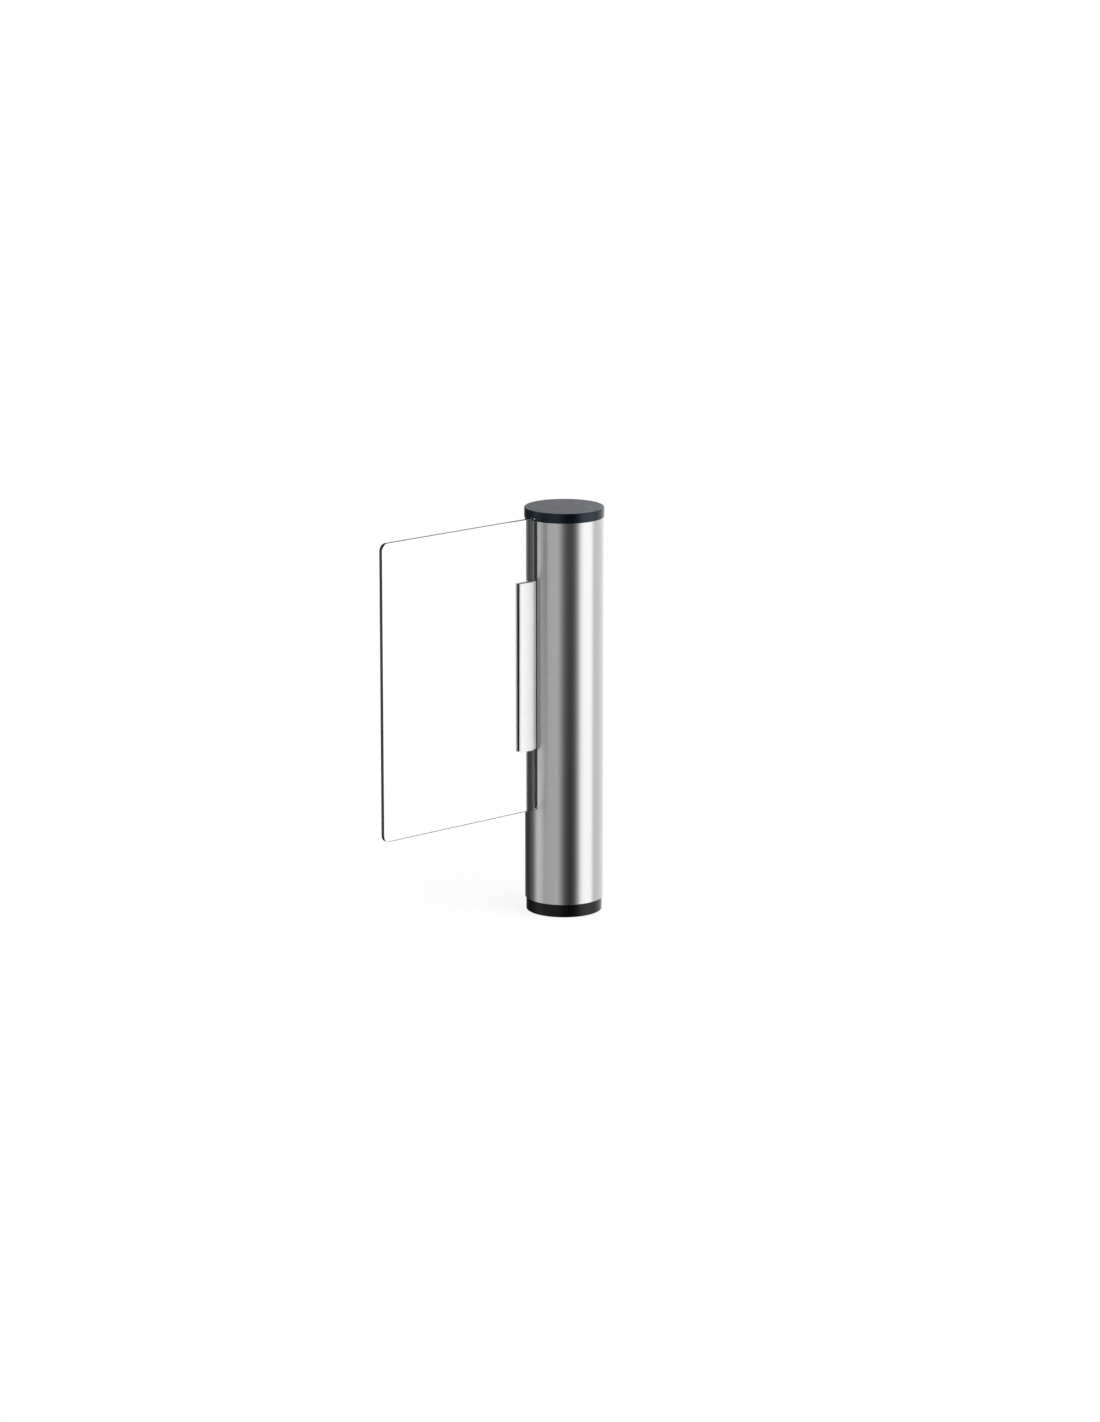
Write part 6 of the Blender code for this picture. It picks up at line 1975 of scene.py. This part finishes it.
# How bright the light tent is at each bearing, in degrees from the camera's own and positive to the right
# in its picture: black flags and white panels that the brushed steel mirrors.
TENT = (
    (-180, 0.56), (-171, 0.50), (-160, 0.10), (-146, 0.08), (-134, 0.02), (-122, 0.07), (-112, 0.11),
    (-104, 0.165), (-97, 0.26), (-91, 0.66), (-84, 0.85), (-72, 0.80), (-60, 0.51), (-45, 0.60), (-32, 0.58),
    (-22, 0.67), (-13, 0.49), (-5, 0.22), (3, 0.09), (20, 0.02), (28, 0.08), (36, 0.18), (43, 0.60),
    (50, 1.36), (60, 1.60), (79, 1.64), (86, 1.64), (94, 0.82), (110, 0.86), (135, 0.97), (162, 1.15),
    (180, 0.56),
)


def tent_cloth(tree, azimuth):
    """The tent's lit cloth, bright and dark by bearing round the gate."""
    place = add_node(tree, "TexCoord")["Object"]
    # The gradient runs from 0 to 1 as the bearing goes from -180 to 180 degrees.
    facing = add_node(tree, "Mapping", {"Vector": place, "Rotation": (0.0, 0.0, pi / 2 - azimuth)})
    bearing = add_node(tree, "TexGradient", {"Vector": facing["Vector"]}, gradient_type="RADIAL")
    ramp = tree.nodes.new("ShaderNodeValToRGB")
    tree.links.new(bearing["Fac"], ramp.inputs["Fac"])
    stops = ramp.color_ramp.elements
    for index, (degrees, level) in enumerate(TENT):
        spot = (degrees + 180.0) / 360.0
        stop = stops[index] if index < 2 else stops.new(spot)
        stop.position = spot
        stop.color = (level, level, level, 1.0)
    height = add_node(tree, "SeparateXYZ", {"Vector": place})
    haze = add_node(
        tree,
        "MapRange",
        {"Value": height["Z"], "From Min": -0.4, "From Max": 0.5, "To Min": 0.0, "To Max": 0.06},
    )
    level = add_node(tree, "VectorMath", {0: ramp.outputs["Color"], 1: haze["Result"]})
    # Glass that is seen in the steel shows the tent behind it, and glass that the camera sees doesn't.
    # What the glass mirrors into the steel is dimmer, which draws the glass there as a faint dark line.
    depth = add_node(tree, "LightPath")["Glossy Depth"]
    dimming = add_node(
        tree, "MapRange", {"Value": depth, "From Min": 1.0, "From Max": 2.0, "To Min": 1.0, "To Max": 0.3}
    )
    glow = add_node(tree, "Emission", {"Color": level["Vector"], "Strength": dimming["Result"]})
    direct = add_node(tree, "Math", {0: depth, 1: 0.5}, operation="LESS_THAN")
    clear = add_node(tree, "BsdfTransparent")
    mix = add_node(tree, "MixShader", {0: direct["Value"], 1: glow["Emission"], 2: clear["BSDF"]})
    return mix["Shader"]


def set_surroundings(scene):
    """The floor, and a round tent of light that only reflections show."""
    stage = scene.gate_stage
    shape = bmesh.new()
    bmesh.ops.create_grid(shape, x_segments=2, y_segments=2, size=20.0)
    floor = stage_piece("floor", shape, finish("white_floor", white_floor, stage.floor))
    floor.visible_glossy = False

    half_height = 8.0
    foot = Matrix.Translation((0.0, 0.0, -half_height))
    shape = bmesh.new()
    bmesh.ops.create_circle(shape, cap_ends=False, segments=96, radius=2.4, matrix=foot)
    extruded_rim(shape, shape.edges[:], 2.0 * half_height)
    tent = stage_piece("light_tent", shape, finish("tent_cloth", tent_cloth, stage.azimuth))
    tent.visible_camera = False
    tent.visible_diffuse = False
    tent.visible_shadow = False
    tent.visible_volume_scatter = False


def set_lights(scene):
    """A broad lamp from above, and an even sky that shows white behind the gate."""
    stage = scene.gate_stage
    lamp = bpy.data.lights.new("key_lamp", "SUN")
    lamp.angle = radians(40.0)
    lamp.energy = stage.key
    holder = bpy.data.objects.new("key_lamp", lamp)
    holder.rotation_euler = Vector((0.15, -0.45, 0.9)).to_track_quat("Z", "Y").to_euler()
    holder.visible_glossy = False
    scene.collection.objects.link(holder)

    world = bpy.data.worlds.new("sky")
    world.use_nodes = True
    scene.world = world
    tree = world.node_tree
    tree.nodes.clear()
    path = add_node(tree, "LightPath")
    seen = path["Is Camera Ray"]
    for kind in ("Glossy", "Transmission"):
        seen = add_node(tree, "Math", {0: seen, 1: path[f"Is {kind} Ray"]}, operation="MAXIMUM")["Value"]
    strength = add_node(tree, "MapRange", {"Value": seen, "To Min": stage.sky, "To Max": 1.0})
    sky = add_node(tree, "Background", {"Color": (*stage.floor, 1.0), "Strength": strength["Result"]})
    add_node(tree, "OutputWorld", {"Surface": sky["Background"]})


class GATE_OT_set_stage(bpy.types.Operator):
    """Set up the floor, the light tent, the lamp, the sky and the camera"""

    bl_idname = "gate.set_stage"
    bl_label = "Stage"
    bl_options = {"REGISTER", "UNDO"}

    def execute(self, context):
        set_camera(context.scene)
        set_surroundings(context.scene)
        set_lights(context.scene)
        context.scene.view_settings.view_transform = "Standard"
        return {"FINISHED"}


class GATE_OT_build_tube(bpy.types.Operator):
    """Roll the brushed sleeve and cut its slot"""

    bl_idname = "gate.build_tube"
    bl_label = "Brushed sleeve"
    bl_options = {"REGISTER", "UNDO"}

    def execute(self, context):
        tube_sleeve(context.scene)
        return {"FINISHED"}


class GATE_OT_build_seal(bpy.types.Operator):
    """Extrude the rubber seal that closes the slot"""

    bl_idname = "gate.build_seal"
    bl_label = "Slot seal"
    bl_options = {"REGISTER", "UNDO"}

    def execute(self, context):
        slot_lip(context.scene)
        painted_shade_bead(context.scene)
        return {"FINISHED"}


class GATE_OT_build_cap(bpy.types.Operator):
    """Turn the black cap and the inlay on its top"""

    bl_idname = "gate.build_cap"
    bl_label = "Cap"
    bl_options = {"REGISTER", "UNDO"}

    def execute(self, context):
        top_cap(context.scene)
        cap_inlay(context.scene)
        return {"FINISHED"}


class GATE_OT_build_base(bpy.types.Operator):
    """Turn the foot ring and drill the floor flange"""

    bl_idname = "gate.build_base"
    bl_label = "Foot ring and flange"
    bl_options = {"REGISTER", "UNDO"}

    def execute(self, context):
        foot_ring(context.scene)
        floor_flange(context.scene)
        return {"FINISHED"}


class GATE_OT_build_glass(bpy.types.Operator):
    """Cut the glass wing with its notch and clamp holes, and grind its edges"""

    bl_idname = "gate.build_glass"
    bl_label = "Glass wing"
    bl_options = {"REGISTER", "UNDO"}

    def execute(self, context):
        glass_pane(context.scene)
        return {"FINISHED"}


class GATE_OT_build_clamp(bpy.types.Operator):
    """Mill the clamp's two halves"""

    bl_idname = "gate.build_clamp"
    bl_label = "Clamp"
    bl_options = {"REGISTER", "UNDO"}

    def execute(self, context):
        clamp_jaw(context.scene)
        clamp_cover(context.scene)
        painted_gaskets(context.scene)
        return {"FINISHED"}


class GATE_OT_build_bolts(bpy.types.Operator):
    """Turn the six countersunk socket screws of the clamp"""

    bl_idname = "gate.build_bolts"
    bl_label = "Clamp screws"
    bl_options = {"REGISTER", "UNDO"}

    def execute(self, context):
        clamp_bolts(context.scene)
        return {"FINISHED"}


class GATE_OT_build_bearings(bpy.types.Operator):
    """Turn the rings of the two ball bearings, drill their cages and set their balls"""

    bl_idname = "gate.build_bearings"
    bl_label = "Bearings"
    bl_options = {"REGISTER", "UNDO"}

    def execute(self, context):
        inside = context.scene.gate_inside
        # Radii of the bore, the rim and a ball, and how many balls there are
        kinds = (
            ("lower", 0.060, 0.075, 0.0040, inside.lower_balls),
            ("upper", 0.0153, 0.031, 0.00475, inside.upper_balls),
        )
        for place, bore, rim, ball, balls in kinds:
            bearing_rings(context.scene, place, bore, rim, ball)
            caged_balls(context.scene, place, (bore + rim) / 2.0, ball, balls)
        return {"FINISHED"}


class GATE_OT_build_column(bpy.types.Operator):
    """Turn the welded core column and bend its circlip"""

    bl_idname = "gate.build_column"
    bl_label = "Core column"
    bl_options = {"REGISTER", "UNDO"}

    def execute(self, context):
        column_weldment(context.scene)
        snap_ring(context.scene)
        return {"FINISHED"}


class GATE_OT_build_chassis(bpy.types.Operator):
    """Turn the pillars, machine the gear plate and the top plate, and add screws and stop buffers"""

    bl_idname = "gate.build_chassis"
    bl_label = "Chassis"
    bl_options = {"REGISTER", "UNDO"}

    def execute(self, context):
        spacers(context.scene, "lower", 0.011, STUD_HOLE)
        spacers(context.scene, "upper", 0.021, SCREW_HOLE)
        for build in (drive_plate, bearing_plate, plate_screws, rubber_stops):
            build(context.scene)
        return {"FINISHED"}


class GATE_OT_build_drive(bpy.types.Operator):
    """Build the gearbox, motor, brake, pinion and angle sensor"""

    bl_idname = "gate.build_drive"
    bl_label = "Drive"
    bl_options = {"REGISTER", "UNDO"}

    def execute(self, context):
        for build in (planetary_gearbox, geared_motor, holding_brake, drive_pinion, shaft_sensor):
            build(context.scene)
        return {"FINISHED"}


class GATE_OT_build_shaft(bpy.types.Operator):
    """Turn the main shaft, hob its gear and make the bush and the locknut"""

    bl_idname = "gate.build_shaft"
    bl_label = "Main shaft"
    bl_options = {"REGISTER", "UNDO"}

    def execute(self, context):
        for build in (spindle, spindle_gear, spindle_nut, flanged_bush):
            build(context.scene)
        return {"FINISHED"}


class GATE_OT_build_hubs(bpy.types.Operator):
    """Turn the two hubs that carry the sleeve, and make the spine with its screws"""

    bl_idname = "gate.build_hubs"
    bl_label = "Hubs and spine"
    bl_options = {"REGISTER", "UNDO"}

    def execute(self, context):
        for build in (foot_hub, head_hub, neck_bolts, spine_bar, spine_bolts):
            build(context.scene)
        return {"FINISHED"}


class GATE_OT_build_electronics(bpy.types.Operator):
    """Bend the board's bracket and populate the control board, the terminals and the power supply"""

    bl_idname = "gate.build_electronics"
    bl_label = "Electronics"
    bl_options = {"REGISTER", "UNDO"}

    def execute(self, context):
        for build in (board_carrier, populated_board, supply_terminals, power_supply):
            build(context.scene)
        return {"FINISHED"}


STEPS = (
    GATE_OT_set_stage,
    GATE_OT_build_tube,
    GATE_OT_build_seal,
    GATE_OT_build_cap,
    GATE_OT_build_base,
    GATE_OT_build_glass,
    GATE_OT_build_clamp,
    GATE_OT_build_bolts,
    GATE_OT_build_bearings,
    GATE_OT_build_column,
    GATE_OT_build_chassis,
    GATE_OT_build_drive,
    GATE_OT_build_shaft,
    GATE_OT_build_hubs,
    GATE_OT_build_electronics,
)

SETTINGS = (
    ("gate_tube", TubeSettings),
    ("gate_cap", CapSettings),
    ("gate_base", BaseSettings),
    ("gate_glass", GlassSettings),
    ("gate_clamp", ClampSettings),
    ("gate_inside", InsideSettings),
    ("gate_stage", StageSettings),
)


class GATE_PT_pieces(bpy.types.Panel):
    """Lists the gate's operators and settings"""

    bl_label = "Swing Barrier Gate"
    bl_space_type = "VIEW_3D"
    bl_region_type = "UI"
    bl_category = "Gate"

    def draw(self, context):
        layout = self.layout
        for operator in STEPS:
            layout.operator(operator.bl_idname)
        for name, group in SETTINGS:
            box = layout.box()
            for prop in group.__annotations__:
                box.prop(getattr(context.scene, name), prop)


CLASSES = [*(group for _, group in SETTINGS), *STEPS, GATE_PT_pieces]


def register():
    for item in CLASSES:
        bpy.utils.register_class(item)
    for name, group in SETTINGS:
        setattr(bpy.types.Scene, name, PointerProperty(type=group))


def unregister():
    for name, _ in SETTINGS:
        delattr(bpy.types.Scene, name)
    for item in reversed(CLASSES):
        bpy.utils.unregister_class(item)


def main():
    register()
    for operator in STEPS:
        name = operator.bl_idname.removeprefix("gate.")
        getattr(bpy.ops.gate, name)()


if __name__ == "__main__":
    main()
